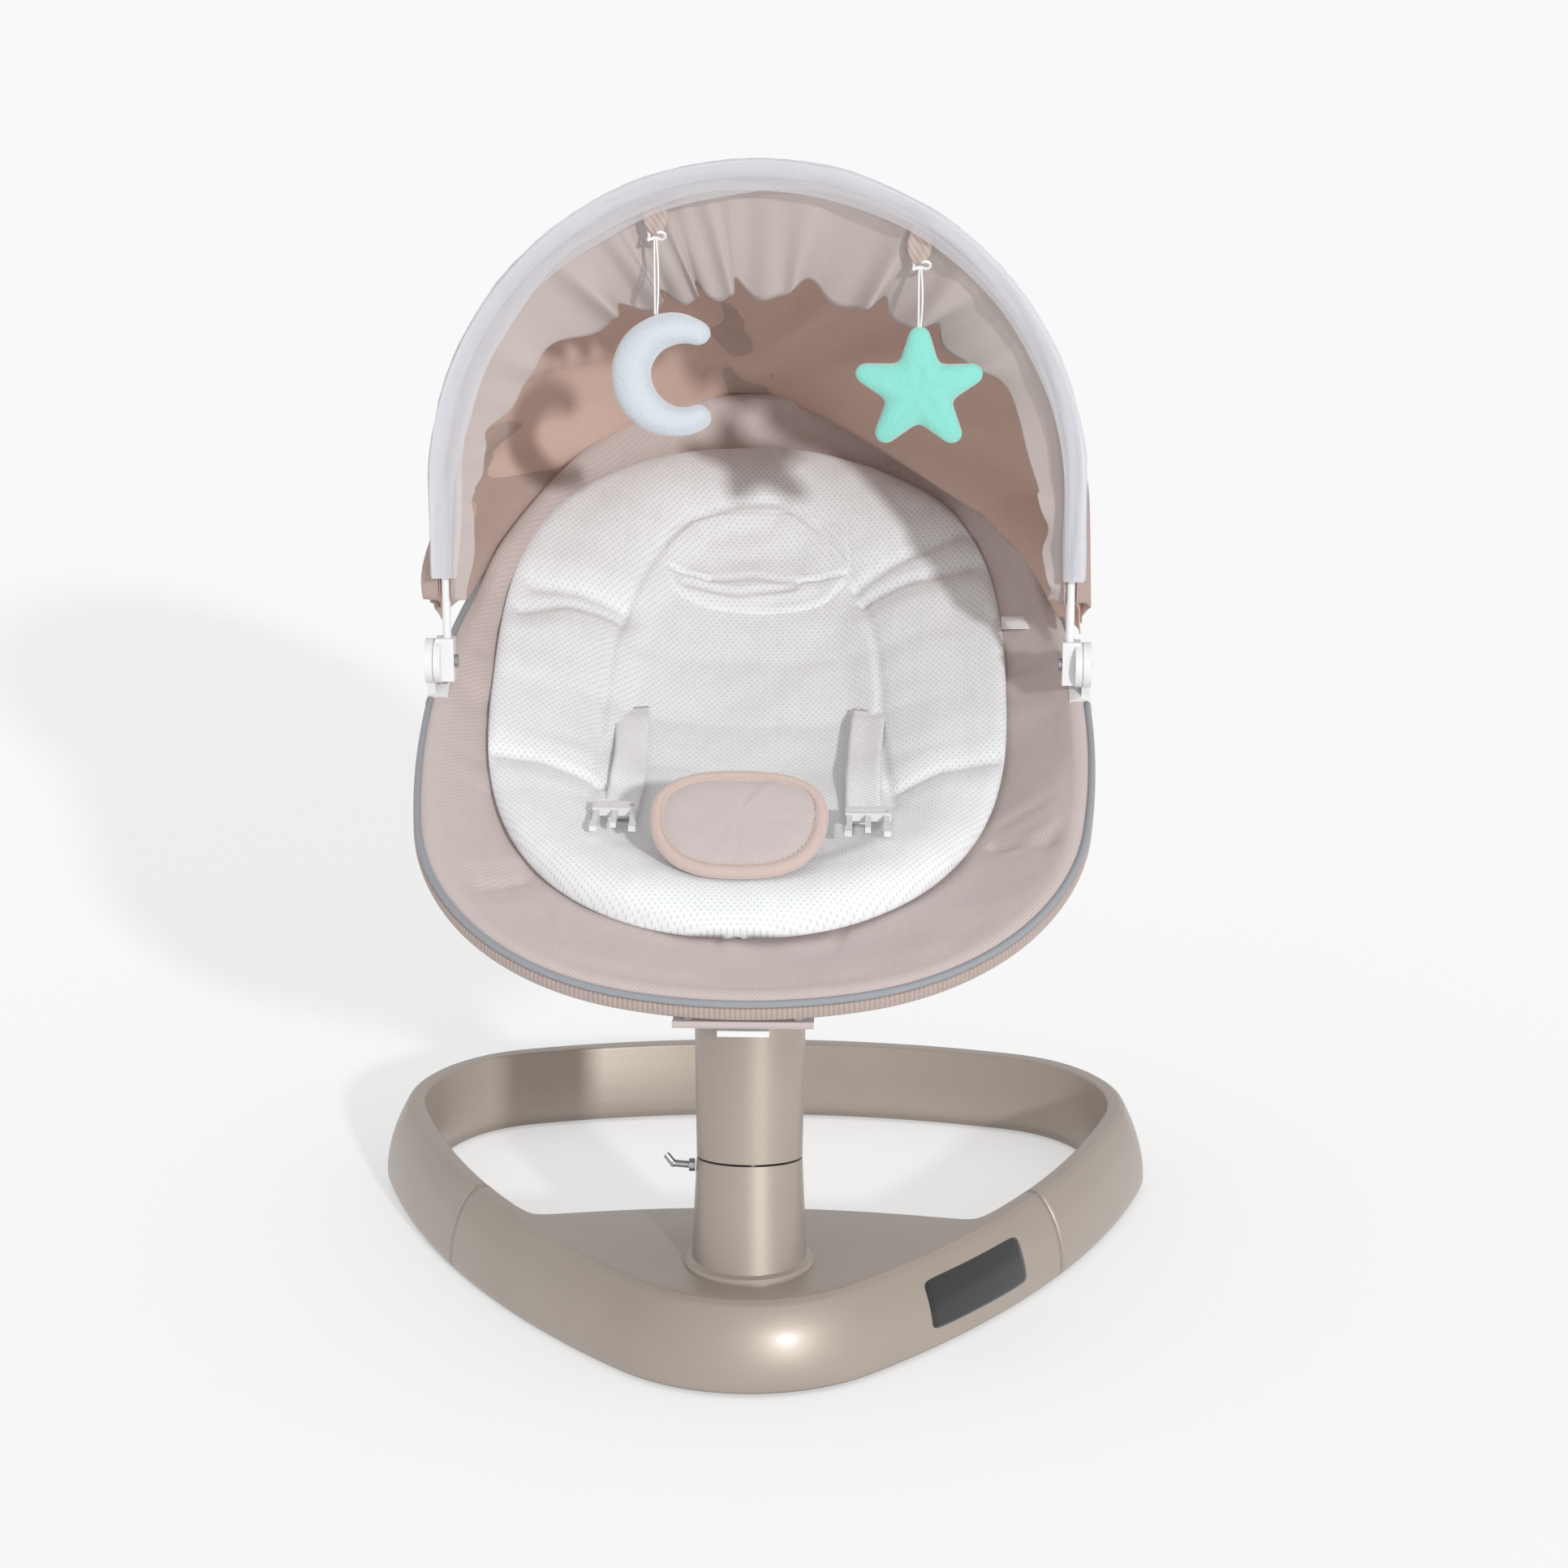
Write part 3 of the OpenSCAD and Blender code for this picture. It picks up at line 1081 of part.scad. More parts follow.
// Hand-laid routes, from the loop down to the toy.
moon_route = [[0, 0, 0], [0, 0, -6], [1, 0, -26], [0.5, 0, -40], [0, 0, cord_r + seat_gap - moon_string]];
star_route = [[0, 0, 0], [0, 0, -6], [-1, 0, -22], [-0.5, 0, -34], [0, 0, cord_r + seat_gap - star_string]];
module cord_tube(route) {
  swept([for (p = route) [for (a = [0:45:315]) p + cord_r * [cos(a), sin(a), 0]]]);
}
module moon_cord() {
  color(white_cloth) translate(moon_pivot - [0, 0, cord_r]) cord_tube(moon_route);
}
module star_cord() {
  color(white_cloth) translate(star_pivot - [0, 0, cord_r]) cord_tube(star_route);
}
// Plush crescent, open to the right; plush five-armed star.
moon_arc = [62, 298];            // where the crescent's tips lie, degrees
moon_turns = steps(moon_arc[0], moon_arc[1], 20);
module toy_moon() {
  cord_spot = moon_edge(moon_turns[4], 1);
  color([0.80, 0.85, 0.92]) translate(moon_pivot - [cord_spot[0], 0, moon_string + cord_spot[1]])
    rotate([90, 0, 0]) translate([0, 0, -toy_t / 2]) linear_extrude(toy_t)
    polygon([for (a = moon_turns) moon_edge(a, 1), for (i = [20:-1:0]) moon_edge(moon_turns[i], -1)]);
}
function moon_edge(a, side) =
  let(share = (a - moon_arc[0]) / (moon_arc[1] - moon_arc[0]),
      fat = 0.32 * moon_h * (0.55 + 0.45 * sin(180 * share)))
  (0.378 * moon_h + side * fat / 2) * heading(a);
module toy_star() {
  long = star_w / 1.98;            // centre to an arm's blunt tip
  squat = 0.95;                    // its height beside its width
  color([0.55, 0.90, 0.80]) translate(star_pivot - [0, 0, star_string + squat * long * cos(9)])
    rotate([90, 0, 0]) translate([0, 0, -toy_t / 2]) linear_extrude(toy_t)
    polygon([for (k = [0:4]) let(a = 90 + 72 * k)
      for (p = [long * heading(a - 9), long * heading(a + 9), 0.55 * long * heading(a + 36)])
        [p[0], squat * p[1]]]);
}

placed() base_front_shell();
placed() base_rear_shell();
placed() base_front_cover();
placed() base_rear_cover();
placed() joint_sleeves();
placed() foot_pads();
placed() cover_screws();
placed() panel_lens();
placed() control_board();
placed() speaker();
placed() dc_inlet();
placed() lower_column();
placed() bearing_housing();
placed() spindle_bearings();
placed() bearing_spacer();
placed() column_screws();
placed() drive_coil();
placed() lock_lever();
placed() upper_column();
placed() spindle();
placed() magnet_arm();
placed() drive_magnet();
placed() seat_hub();
placed() recline_lever();
placed() seat_yoke();
placed() recline_pin();
placed() cradle_left();
placed() cradle_right();
placed() foot_struts();
placed() cover_apron();
placed() frame_head_tube();
placed() frame_foot_tube();
placed() seat_cover();
placed() cover_piping();
placed() cover_band();
placed() liner_pad();
placed() head_support();
placed() strap_left();
placed() strap_right();
placed() buckle_left();
placed() buckle_right();
placed() care_tag();
placed() hinge_clip_left();
placed() hinge_clip_right();
placed() hinge_screws();
placed() hood_rear_panel();
placed() crotch_pad();
placed() canopy_bow();
placed() hinge_knuckle_left();
placed() hinge_knuckle_right();
placed() hood_front_panel();
placed() hood_valance();
placed() net_bundle();
placed() toy_loops();
placed() toy_moon();
placed() moon_cord();
placed() toy_star();
placed() star_cord();
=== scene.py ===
"""Looks of the electric baby swing: metres, on the frame that CAD packed.

Shapes repeat part.scad's named values, in millimetres about the base's middle,
and are moved to the part's own origin when a mesh is made.
"""

import math

import bpy
import numpy as np
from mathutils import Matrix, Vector, noise

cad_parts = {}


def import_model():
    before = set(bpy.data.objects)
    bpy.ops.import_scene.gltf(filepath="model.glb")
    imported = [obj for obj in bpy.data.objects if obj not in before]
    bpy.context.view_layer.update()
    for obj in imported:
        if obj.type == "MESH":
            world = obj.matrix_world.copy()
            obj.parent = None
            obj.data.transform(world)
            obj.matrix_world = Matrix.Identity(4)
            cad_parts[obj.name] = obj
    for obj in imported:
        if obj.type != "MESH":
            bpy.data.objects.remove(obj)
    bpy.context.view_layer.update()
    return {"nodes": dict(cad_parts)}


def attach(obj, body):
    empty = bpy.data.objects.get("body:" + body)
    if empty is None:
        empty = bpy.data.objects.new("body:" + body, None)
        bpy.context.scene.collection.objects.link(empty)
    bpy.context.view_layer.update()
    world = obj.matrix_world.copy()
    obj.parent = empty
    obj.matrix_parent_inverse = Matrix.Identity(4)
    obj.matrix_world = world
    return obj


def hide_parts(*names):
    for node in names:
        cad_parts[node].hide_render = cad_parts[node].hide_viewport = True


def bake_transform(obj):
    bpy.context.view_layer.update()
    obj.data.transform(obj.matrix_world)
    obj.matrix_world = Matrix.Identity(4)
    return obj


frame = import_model()

ORIGIN_Y = 17.8556               # the part's origin in the base's own frame


# --- small helpers -------------------------------------------------------------
def rad(a):
    return a * math.pi / 180


def smooth(t):
    t = np.clip(t, 0, 1)
    return t * t * (3 - 2 * t)


def mix(a, b, t):
    return a * (1 - t) + b * t


def steps(a, b, n):
    return [a + (b - a) * i / n for i in range(n + 1)]


def bump(t, width):
    """A smooth hill of height 1 at t = 0 that ends at +-width."""
    t = np.abs(t) / width
    return np.where(t < 1, (1 - t * t) ** 2, 0)


def wobble(x, y, z, size, seed=0.0):
    """Smooth seeded noise of about +-1, with features of the given size."""
    return noise.noise(Vector((x / size + seed * 7.31, y / size - seed * 3.17, z / size + seed * 1.73))) * 1.6


class Outline:
    """A closed line of four tangent arcs a side, from the front (-90) to the back (90)."""

    def __init__(self, width, depth, first, breaks, front):
        def column(i):
            b = [rad(v) for v in breaks[i:i + 2]]
            return [math.cos(min(0, b[1])) - math.cos(min(0, b[0])),
                    math.cos(b[1]) - math.cos(b[0]), math.sin(b[1]) - math.sin(b[0])]
        left = np.array([width / 2, 0, depth]) - first * np.array(column(0))
        rest = np.linalg.solve(np.column_stack([column(i) for i in (1, 2, 3)]), left)
        self.front, self.radii, self.breaks = front, [first, *rest], breaks

    def grown(self, by):
        o = Outline.__new__(Outline)
        o.front, o.radii, o.breaks = self.front - by, [r + by for r in self.radii], self.breaks
        return o

    def start(self, i):
        x, y = 0, self.front
        for k in range(i):
            a, b = rad(self.breaks[k]), rad(self.breaks[k + 1])
            x += self.radii[k] * (math.cos(b) - math.cos(a))
            y += self.radii[k] * (math.sin(b) - math.sin(a))
        return x, y

    def point(self, a):
        f = 180 - a if a > 90 else -180 - a if a < -90 else a
        i = sum(f > b for b in self.breaks[1:4])
        x, y = self.start(i)
        b = rad(self.breaks[i])
        x += self.radii[i] * (math.cos(rad(f)) - math.cos(b))
        y += self.radii[i] * (math.sin(rad(f)) - math.sin(b))
        return (-x if a > 90 or a < -90 else x), y

    def normal_at(self, y):
        i = sum(y > self.start(k)[1] for k in (1, 2, 3))
        v = math.sin(rad(self.breaks[i])) + (y - self.start(i)[1]) / self.radii[i]
        return math.degrees(math.asin(max(-1, min(1, v))))

    def half_width(self, y):
        return self.point(self.normal_at(y))[0]


# --- materials -------------------------------------------------------------------
def tree(name):
    m = bpy.data.materials.new(name)
    m.use_nodes = True
    t = m.node_tree
    shader = t.nodes["Principled BSDF"]
    return m, t, shader


def node(t, kind, **values):
    n = t.nodes.new(kind)
    for key, value in values.items():
        if key in n.inputs:
            n.inputs[key].default_value = value
        else:
            setattr(n, key, value)
    return n


def link(t, a, b):
    t.links.new(a, b)


def coords(t, uv):
    return node(t, "ShaderNodeUVMap").outputs[0] if uv else node(t, "ShaderNodeTexCoord").outputs["Object"]


def scaled(t, source, scale, turn=0.0):
    m = node(t, "ShaderNodeMapping")
    m.inputs["Scale"].default_value = scale
    m.inputs["Rotation"].default_value[2] = rad(turn)
    link(t, source, m.inputs["Vector"])
    return m.outputs[0]


def math_node(t, operation, a, b=None):
    n = node(t, "ShaderNodeMath", operation=operation)
    for i, v in enumerate((a, b)):
        if v is None:
            continue
        if isinstance(v, (int, float)):
            n.inputs[i].default_value = v
        else:
            link(t, v, n.inputs[i])
    return n.outputs[0]


def tint(t, fac, low, high, at=(0.0, 1.0)):
    r = node(t, "ShaderNodeValToRGB")
    for stop, place, c in zip(r.color_ramp.elements, at, (low, high)):
        stop.position, stop.color = place, (*c, 1)
    link(t, fac, r.inputs[0])
    return r.outputs[0]


def shade(c, by):
    return tuple(max(0, min(1, v * by)) for v in c)


def lin(r, g, b):
    """An 8-bit colour as the shader's linear one."""
    return tuple(round(((v / 255 + 0.055) / 1.055) ** 2.4 if v > 10 else v / 255 / 12.92, 4)
                 for v in (r, g, b))


def cloth(name, colour, pitch=1.1, turn=0.0, uv=True, kind="twill", depth=0.25, sheen=0.25, rough=0.9,
          alpha=1.0, mottle=0.05, thin=0.0):
    """Woven cloth: fine ridges in the weave's own direction, slubs and slow colour change."""
    m, t, s = tree(name)
    c = coords(t, uv)
    s.inputs["Roughness"].default_value = rough
    s.inputs["Sheen Weight"].default_value = sheen
    s.inputs["Sheen Roughness"].default_value = 0.5
    s.inputs["Specular IOR Level"].default_value = 0.25
    per_m = 1000 / pitch
    if kind == "twill":
        w = node(t, "ShaderNodeTexWave", Scale=per_m / 20 * 3.183, Distortion=0.6, wave_profile="SIN")
        w.inputs["Detail Scale"].default_value = 4.0
        link(t, scaled(t, c, (1, 1, 1), turn), w.inputs["Vector"])
        fine = w.outputs["Fac"]
    elif kind == "mesh":
        split = node(t, "ShaderNodeSeparateXYZ")
        link(t, scaled(t, c, (1, 1, 1), turn), split.inputs[0])
        waves = [math_node(t, "COSINE", math_node(t, "MULTIPLY", split.outputs[i], math.tau * per_m * k))
                 for i, k in ((0, 0.72), (1, 0.54))]
        dots = node(t, "ShaderNodeMapRange", interpolation_type="SMOOTHSTEP")
        dots.inputs["From Min"].default_value, dots.inputs["From Max"].default_value = 0.25, 0.9
        link(t, math_node(t, "MULTIPLY", *waves), dots.inputs["Value"])
        fine = math_node(t, "SUBTRACT", 1.0, dots.outputs[0])
    else:
        v = node(t, "ShaderNodeTexNoise", Scale=per_m, Detail=3.0)
        link(t, c, v.inputs["Vector"])
        fine = v.outputs["Fac"]
    slub = node(t, "ShaderNodeTexNoise", Scale=per_m * 0.35, Detail=4.0)
    link(t, scaled(t, c, (1, 0.35, 1)), slub.inputs["Vector"])
    slow = node(t, "ShaderNodeTexNoise", Scale=14.0, Detail=2.0)
    link(t, c, slow.inputs["Vector"])
    mixf = math_node(t, "ADD", math_node(t, "MULTIPLY", fine, 0.55 if kind == "mesh" else 0.3),
                     math_node(t, "ADD", math_node(t, "MULTIPLY", slub.outputs["Fac"], 0.25),
                               math_node(t, "MULTIPLY", slow.outputs["Fac"], 0.2)))
    link(t, tint(t, mixf, shade(colour, 1 - 2.2 * mottle), shade(colour, 1 + 1.6 * mottle), (0.2, 0.8)),
         s.inputs["Base Color"])
    b = node(t, "ShaderNodeBump", Strength=depth, Distance=0.0006)
    link(t, fine, b.inputs["Height"])
    b2 = node(t, "ShaderNodeBump", Strength=depth * 0.6, Distance=0.0012)
    link(t, slub.outputs["Fac"], b2.inputs["Height"])
    link(t, b.outputs[0], b2.inputs["Normal"])
    link(t, b2.outputs[0], s.inputs["Normal"])
    if alpha < 1:
        s.inputs["Alpha"].default_value = alpha
    if thin:
        through = node(t, "ShaderNodeBsdfTranslucent")
        through.inputs["Color"].default_value = (*shade(colour, 0.95), 1)
        both = node(t, "ShaderNodeMixShader")
        both.inputs[0].default_value = thin
        link(t, s.outputs[0], both.inputs[1])
        link(t, through.outputs[0], both.inputs[2])
        link(t, both.outputs[0], t.nodes["Material Output"].inputs[0])
    return m


def plastic(name, colour, rough=0.38, grain=0.0, coat=0.0, speck=0.0, metal=0.0, grain_scale=1500.0):
    """Moulded plastic: slight waviness, fine grain and, for lacquer, flakes."""
    m, t, s = tree(name)
    c = coords(t, False)
    s.inputs["Metallic"].default_value = metal
    s.inputs["Coat Weight"].default_value = coat
    s.inputs["Coat Roughness"].default_value = 0.22
    big = node(t, "ShaderNodeTexNoise", Scale=9.0, Detail=2.0)
    fine = node(t, "ShaderNodeTexNoise", Scale=grain_scale, Detail=2.0)
    for n in (big, fine):
        link(t, c, n.inputs["Vector"])
    fac = math_node(t, "ADD", math_node(t, "MULTIPLY", big.outputs["Fac"], 0.6),
                    math_node(t, "MULTIPLY", fine.outputs["Fac"], 0.4))
    link(t, tint(t, fac, shade(colour, 0.97 - speck), shade(colour, 1.03 + speck), (0.3, 0.7)),
         s.inputs["Base Color"])
    r = node(t, "ShaderNodeMapRange")
    r.inputs["To Min"].default_value = rough - 0.05
    r.inputs["To Max"].default_value = rough + 0.07
    link(t, big.outputs["Fac"], r.inputs["Value"])
    link(t, r.outputs[0], s.inputs["Roughness"])
    b = node(t, "ShaderNodeBump", Strength=grain, Distance=0.0004)
    link(t, fine.outputs["Fac"], b.inputs["Height"])
    link(t, b.outputs[0], s.inputs["Normal"])
    return m


def metal(name, colour, rough=0.3):
    m, t, s = tree(name)
    s.inputs["Metallic"].default_value = 1.0
    c = coords(t, False)
    n = node(t, "ShaderNodeTexNoise", Scale=400.0, Detail=3.0)
    link(t, scaled(t, c, (1, 1, 12)), n.inputs["Vector"])
    link(t, tint(t, n.outputs["Fac"], shade(colour, 0.9), shade(colour, 1.06)), s.inputs["Base Color"])
    r = node(t, "ShaderNodeMapRange")
    r.inputs["To Min"].default_value = rough - 0.08
    r.inputs["To Max"].default_value = rough + 0.1
    link(t, n.outputs["Fac"], r.inputs["Value"])
    link(t, r.outputs[0], s.inputs["Roughness"])
    return m


TAUPE = lin(200, 186, 183)
taupe = cloth("taupe_twill", TAUPE, 1.3, 38)
taupe_plain = cloth("taupe_plain", lin(196, 184, 182), 0.8, 20, depth=0.15)
hood_cloth = cloth("hood_cloth", lin(222, 204, 197), 0.9, 90, depth=0.15, sheen=0.3, thin=0.5)
lining = cloth("hood_lining", lin(240, 216, 204), 0.8, 90, depth=0.12, thin=0.4)
valance_cloth = cloth("valance_cloth", lin(206, 194, 190), 0.8, 90, depth=0.12, thin=0.2)
# The ribbed band's colour is set darker than the cover cloth: painted shade for its downward-facing side.
ribbed = cloth("ribbed_band", lin(180, 163, 156), 1.7, 90, depth=0.8, mottle=0.10)
bow_tape = cloth("bow_tape", lin(190, 172, 164), 2.0, 35, depth=0.6, mottle=0.08)
piping_cloth = cloth("piping_cloth", lin(150, 153, 158), 0.7, 60, depth=0.2, sheen=0.15, rough=0.6)
spacer_mesh = cloth("spacer_mesh", lin(226, 228, 230), 3.2, 0, kind="mesh", depth=0.45, mottle=0.05)
binding = cloth("soft_binding", lin(202, 182, 174), 0.9, 0, kind="plush", depth=0.35, sheen=0.6)
webbing = cloth("webbing", lin(238, 238, 240), 1.4, 60, depth=0.6, sheen=0.1, rough=0.7)
net = cloth("sheer_net", lin(236, 236, 240), 1.0, 45, depth=0.3, alpha=0.86, rough=0.8, thin=0.3)
veil = cloth("net_veil", lin(240, 240, 244), 1.0, 45, depth=0.2, alpha=0.42, rough=0.8, thin=0.3)
tag_cloth = cloth("tag_cloth", lin(240, 240, 240), 0.5, 0, depth=0.1)
moon_plush = cloth("moon_plush", lin(203, 211, 219), 0.9, 0, uv=False, kind="plush", depth=0.9, sheen=0.9)
star_plush = cloth("star_plush", lin(136, 218, 204), 0.9, 0, uv=False, kind="plush", depth=0.9, sheen=0.9)
elastic = cloth("elastic_cord", lin(240, 240, 240), 0.8, 45, uv=False, depth=0.5, sheen=0.2)
thread = cloth("thread", lin(214, 196, 186), 0.4, 45, uv=False, depth=0.3)
white_thread = cloth("white_thread", lin(236, 236, 236), 0.4, 45, uv=False, depth=0.3)

champagne = plastic("champagne_lacquer", lin(163, 152, 142), 0.42, grain=0.25, coat=0.35,
                    speck=0.05, metal=0.35)
white_gloss = plastic("white_plastic", lin(225, 225, 225), 0.32, grain=0.05)
dark = plastic("dark_plastic", lin(44, 44, 46), 0.5, grain=0.3)
grey_metal = metal("steel", lin(170, 172, 175), 0.32)
painted = plastic("painted_tube", lin(200, 198, 196), 0.35, coat=0.3)
rubber = plastic("rubber", lin(42, 42, 42), 0.8, grain=0.4)
lens = plastic("panel_lens", lin(14, 16, 18), 0.12, coat=0.6)
copper = metal("copper", lin(184, 110, 60), 0.35)
board_green = plastic("board", lin(24, 92, 50), 0.45, grain=0.2)
hub_grey = plastic("hub_casting", lin(120, 120, 122), 0.5, grain=0.3, metal=0.4)


# --- pieces ------------------------------------------------------------------------
def make(name, points, faces, material, body, uvs=None, replaces=(), subdiv=0, flat=False, slot=None):
    """A mesh piece from points in millimetres about the base's middle."""
    points = np.asarray(points, float).reshape(-1, 3)
    verts = (points - [0, ORIGIN_Y, 0]) / 1000
    mesh = bpy.data.meshes.new(name)
    mesh.from_pydata(verts.tolist(), [], [list(f) for f in faces])
    if uvs is not None:
        uvs = np.asarray(uvs, float).reshape(-1, 2)
        layer = mesh.uv_layers.new(name="UVMap")
        index = np.empty(len(mesh.loops), int)
        mesh.loops.foreach_get("vertex_index", index)
        layer.data.foreach_set("uv", uvs[index].ravel())
    for m in material if isinstance(material, (list, tuple)) else [material]:
        mesh.materials.append(m)
    if not flat:
        mesh.polygons.foreach_set("use_smooth", [True] * len(mesh.polygons))
    mesh.validate()
    obj = bpy.data.objects.new(name, mesh)
    bpy.context.scene.collection.objects.link(obj)
    if subdiv:
        s = obj.modifiers.new("subdivide", "SUBSURF")
        s.levels = s.render_levels = subdiv
    if body:
        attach(obj, body)
    if replaces:
        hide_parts(*replaces)
    return obj


def grid_faces(rows, cols, close_rows=False, close_cols=False, flip=False):
    faces = []
    for i in range(rows if close_rows else rows - 1):
        for j in range(cols if close_cols else cols - 1):
            a, b = i * cols + j, i * cols + (j + 1) % cols
            c, d = (i + 1) % rows * cols + (j + 1) % cols, (i + 1) % rows * cols + j
            faces.append((a, d, c, b) if flip else (a, b, c, d))
    return faces


def arc_uv(grid):
    """UVs in metres along and across a grid of points."""
    g = np.asarray(grid, float)
    u = np.zeros(g.shape[:2])
    v = np.zeros(g.shape[:2])
    mid = g.shape[1] // 2
    u[:, 1:] = np.cumsum(np.linalg.norm(np.diff(g, axis=1), axis=2), axis=1)
    u -= u[:, mid:mid + 1]
    v[1:] = np.cumsum(np.linalg.norm(np.diff(g[:, mid], axis=0), axis=1))[:, None]
    return np.stack([u, v], -1) / 1000


def sheet_piece(name, grid, material, body, thick=None, flip=False, **more):
    g = np.asarray(grid, float)
    obj = make(name, g, grid_faces(g.shape[0], g.shape[1], flip=flip), material, body, arc_uv(g), **more)
    if thick:
        s = obj.modifiers.new("thickness", "SOLIDIFY")
        s.thickness = thick / 1000
        s.offset = 0
        s.use_rim = True
    return obj


def tube_piece(name, rings, material, body, closed=False, **more):
    """A closed tube through rings of points; its ends are capped."""
    g = np.asarray(rings, float)
    n, k = g.shape[:2]
    faces = grid_faces(n, k, closed, True)
    if not closed:
        faces += [tuple(range(k))[::-1], tuple((n - 1) * k + i for i in range(k))]
    loop = np.zeros((n, k))
    loop[:, 1:] = np.cumsum(np.linalg.norm(np.diff(g, axis=1), axis=2), axis=1)
    run = np.concatenate([[0], np.cumsum(np.linalg.norm(np.diff(g.mean(1), axis=0), axis=1))])
    uv = np.stack([loop, np.repeat(run[:, None], k, 1)], -1) / 1000
    return make(name, g, faces, material, body, uv, **more)


def sweep(path, radius, sides=10, squash=(1, 1)):
    """Rings of a round section along a path of points, without twist."""
    p = np.asarray(path, float)
    d = np.gradient(p, axis=0)
    d /= np.linalg.norm(d, axis=1)[:, None]
    up = np.array([0, 0, 1.0]) if abs(d[0][2]) < 0.9 else np.array([0, 1.0, 0])
    rings = []
    side = np.cross(d[0], up)
    for q, v in zip(p, d):
        side = side - v * side.dot(v)
        side /= np.linalg.norm(side)
        other = np.cross(v, side)
        rings.append([q + radius * (squash[0] * math.cos(a) * side + squash[1] * math.sin(a) * other)
                      for a in np.linspace(0, 2 * math.pi, sides, endpoint=False)])
    return rings


def stitches(name, path, material, body, length=3.2, gap=1.6, r=0.35, lift=(0, 0, 0.3)):
    """A row of short thread stitches along a path."""
    p = np.asarray(path, float) + np.asarray(lift, float)
    run = np.concatenate([[0], np.cumsum(np.linalg.norm(np.diff(p, axis=0), axis=1))])
    points, faces = [], []
    at = gap
    while at + length < run[-1]:
        ends = [np.array([np.interp(w, run, p[:, k]) for k in range(3)])
                for w in (at, at + length / 2, at + length)]
        ends[0] = ends[0] - [0, 0, r]
        ends[2] = ends[2] - [0, 0, r]
        rings = sweep(ends, r, 5)
        base = len(points)
        points += [q for ring in rings for q in ring]
        faces += [tuple(base + i for i in f) for f in grid_faces(3, 5, False, True)]
        at += length + gap
    return make(name, points, faces, material, body)


# --- camera ----------------------------------------------------------------------------
eye = bpy.data.cameras.new("camera")
eye.lens, eye.sensor_width, eye.sensor_fit = 74.91, 36, "HORIZONTAL"
camera = bpy.data.objects.new("camera", eye)
camera.location = (0.0863, -2.3073, 0.965)
camera.rotation_euler = (rad(75), 0, rad(1.7))
bpy.context.scene.collection.objects.link(camera)
bpy.context.scene.camera = camera

# --- named places that the pieces share (millimetres) -----------------------------------
BASE = Outline(560, 529, 107, [-90, -47, -16, 73, 90], -264.5)
LOOP = Outline(478, 690, 350, [-90, -76, -8, 28, 90], 0)
TILT = rad(26)
HINGE_S, HINGE_N = 322, 26
PIPE_R, TUBE_R = 2.5, 6
PITCH = (TUBE_R + PIPE_R + 0.3) * math.sin(rad(45))
INSET, DROP = PIPE_R + PITCH, PITCH
HANG = DROP + TUBE_R + 1
CENTRE = LOOP.grown(-INSET)
TUB = LOOP.grown(-(INSET + TUBE_R + 0.6))
LINER_X, LINER_W, LINER_A, LINER_B, LINER_T = -8, 376, 82, 638, 30
LINER_MID, LINER_HALF = (LINER_A + LINER_B) / 2, (LINER_B - LINER_A) / 2
BOW_R, BOW_LEG, BOW_D = 222, 124, 6
HOLLOW = [[0, 0], [0.08, 0.12], [0.16, 0.28], [0.24, 0.48], [0.34, 0.78], [0.44, 0.96], [0.52, 1],
          [0.62, 0.94], [0.74, 0.72], [0.86, 0.38], [0.94, 0.14], [1, 0]]


def seat_point(x, s, n):
    return (x, -295 + s * math.cos(TILT) - n * math.sin(TILT), 281 + s * math.sin(TILT) + n * math.cos(TILT))


HINGE = seat_point(0, HINGE_S, HINGE_N)


def depth_at(s):
    return 85 * np.interp(s / 690, *zip(*HOLLOW))


def tub_n(x, s):
    share = min(1, abs(x) / max(1, TUB.half_width(s)))
    return -4 - depth_at(s) * (1 - share ** 2.4)


def liner_w_at(s):
    return LINER_W / 2 * (1 - min(1, abs(s - LINER_MID) / LINER_HALF) ** 2.6) ** (1 / 2.2)


def liner_top(x, s):
    t = min(1, abs(x - LINER_X) / max(1, liner_w_at(s)))
    u = abs(s - LINER_MID) / LINER_HALF
    return tub_n(x, s) + 1.7 + LINER_T * (1 - 0.7 * t ** 5) * (1 - 0.6 * u ** 8)


def arch_point(t, r, low):
    leg, arc = BOW_LEG - low, math.pi * r
    d = t * (2 * leg + arc)
    if d < leg:
        return r, low + d
    if d < leg + arc:
        a = (d - leg) / r
        return r * math.cos(a), BOW_LEG + r * math.sin(a)
    return -r, BOW_LEG - (d - leg - arc)


# --- toy cords: a doubled elastic, from the loop on the bow down to the toy ----------------
def toy_pivot(x):
    return np.array([x, HINGE[1] - 2.6, HINGE[2] + BOW_LEG + math.sqrt(BOW_R ** 2 - x * x) - BOW_D / 2 - 30])


def cord_spline(name, points, radius, material, body, node_name):
    curve = bpy.data.curves.new(name, "CURVE")
    curve.dimensions = "3D"
    curve.bevel_depth, curve.bevel_resolution = radius / 1000, 3
    curve.use_fill_caps = True
    spline = curve.splines.new("POLY")
    spline.points.add(len(points) - 1)
    for p, q in zip(spline.points, points):
        p.co = (q[0] / 1000, (q[1] - ORIGIN_Y) / 1000, q[2] / 1000, 1)
    curve.materials.append(material)
    obj = bpy.data.objects.new(name, curve)
    bpy.context.scene.collection.objects.link(obj)
    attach(obj, body)
    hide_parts(node_name)
    return obj


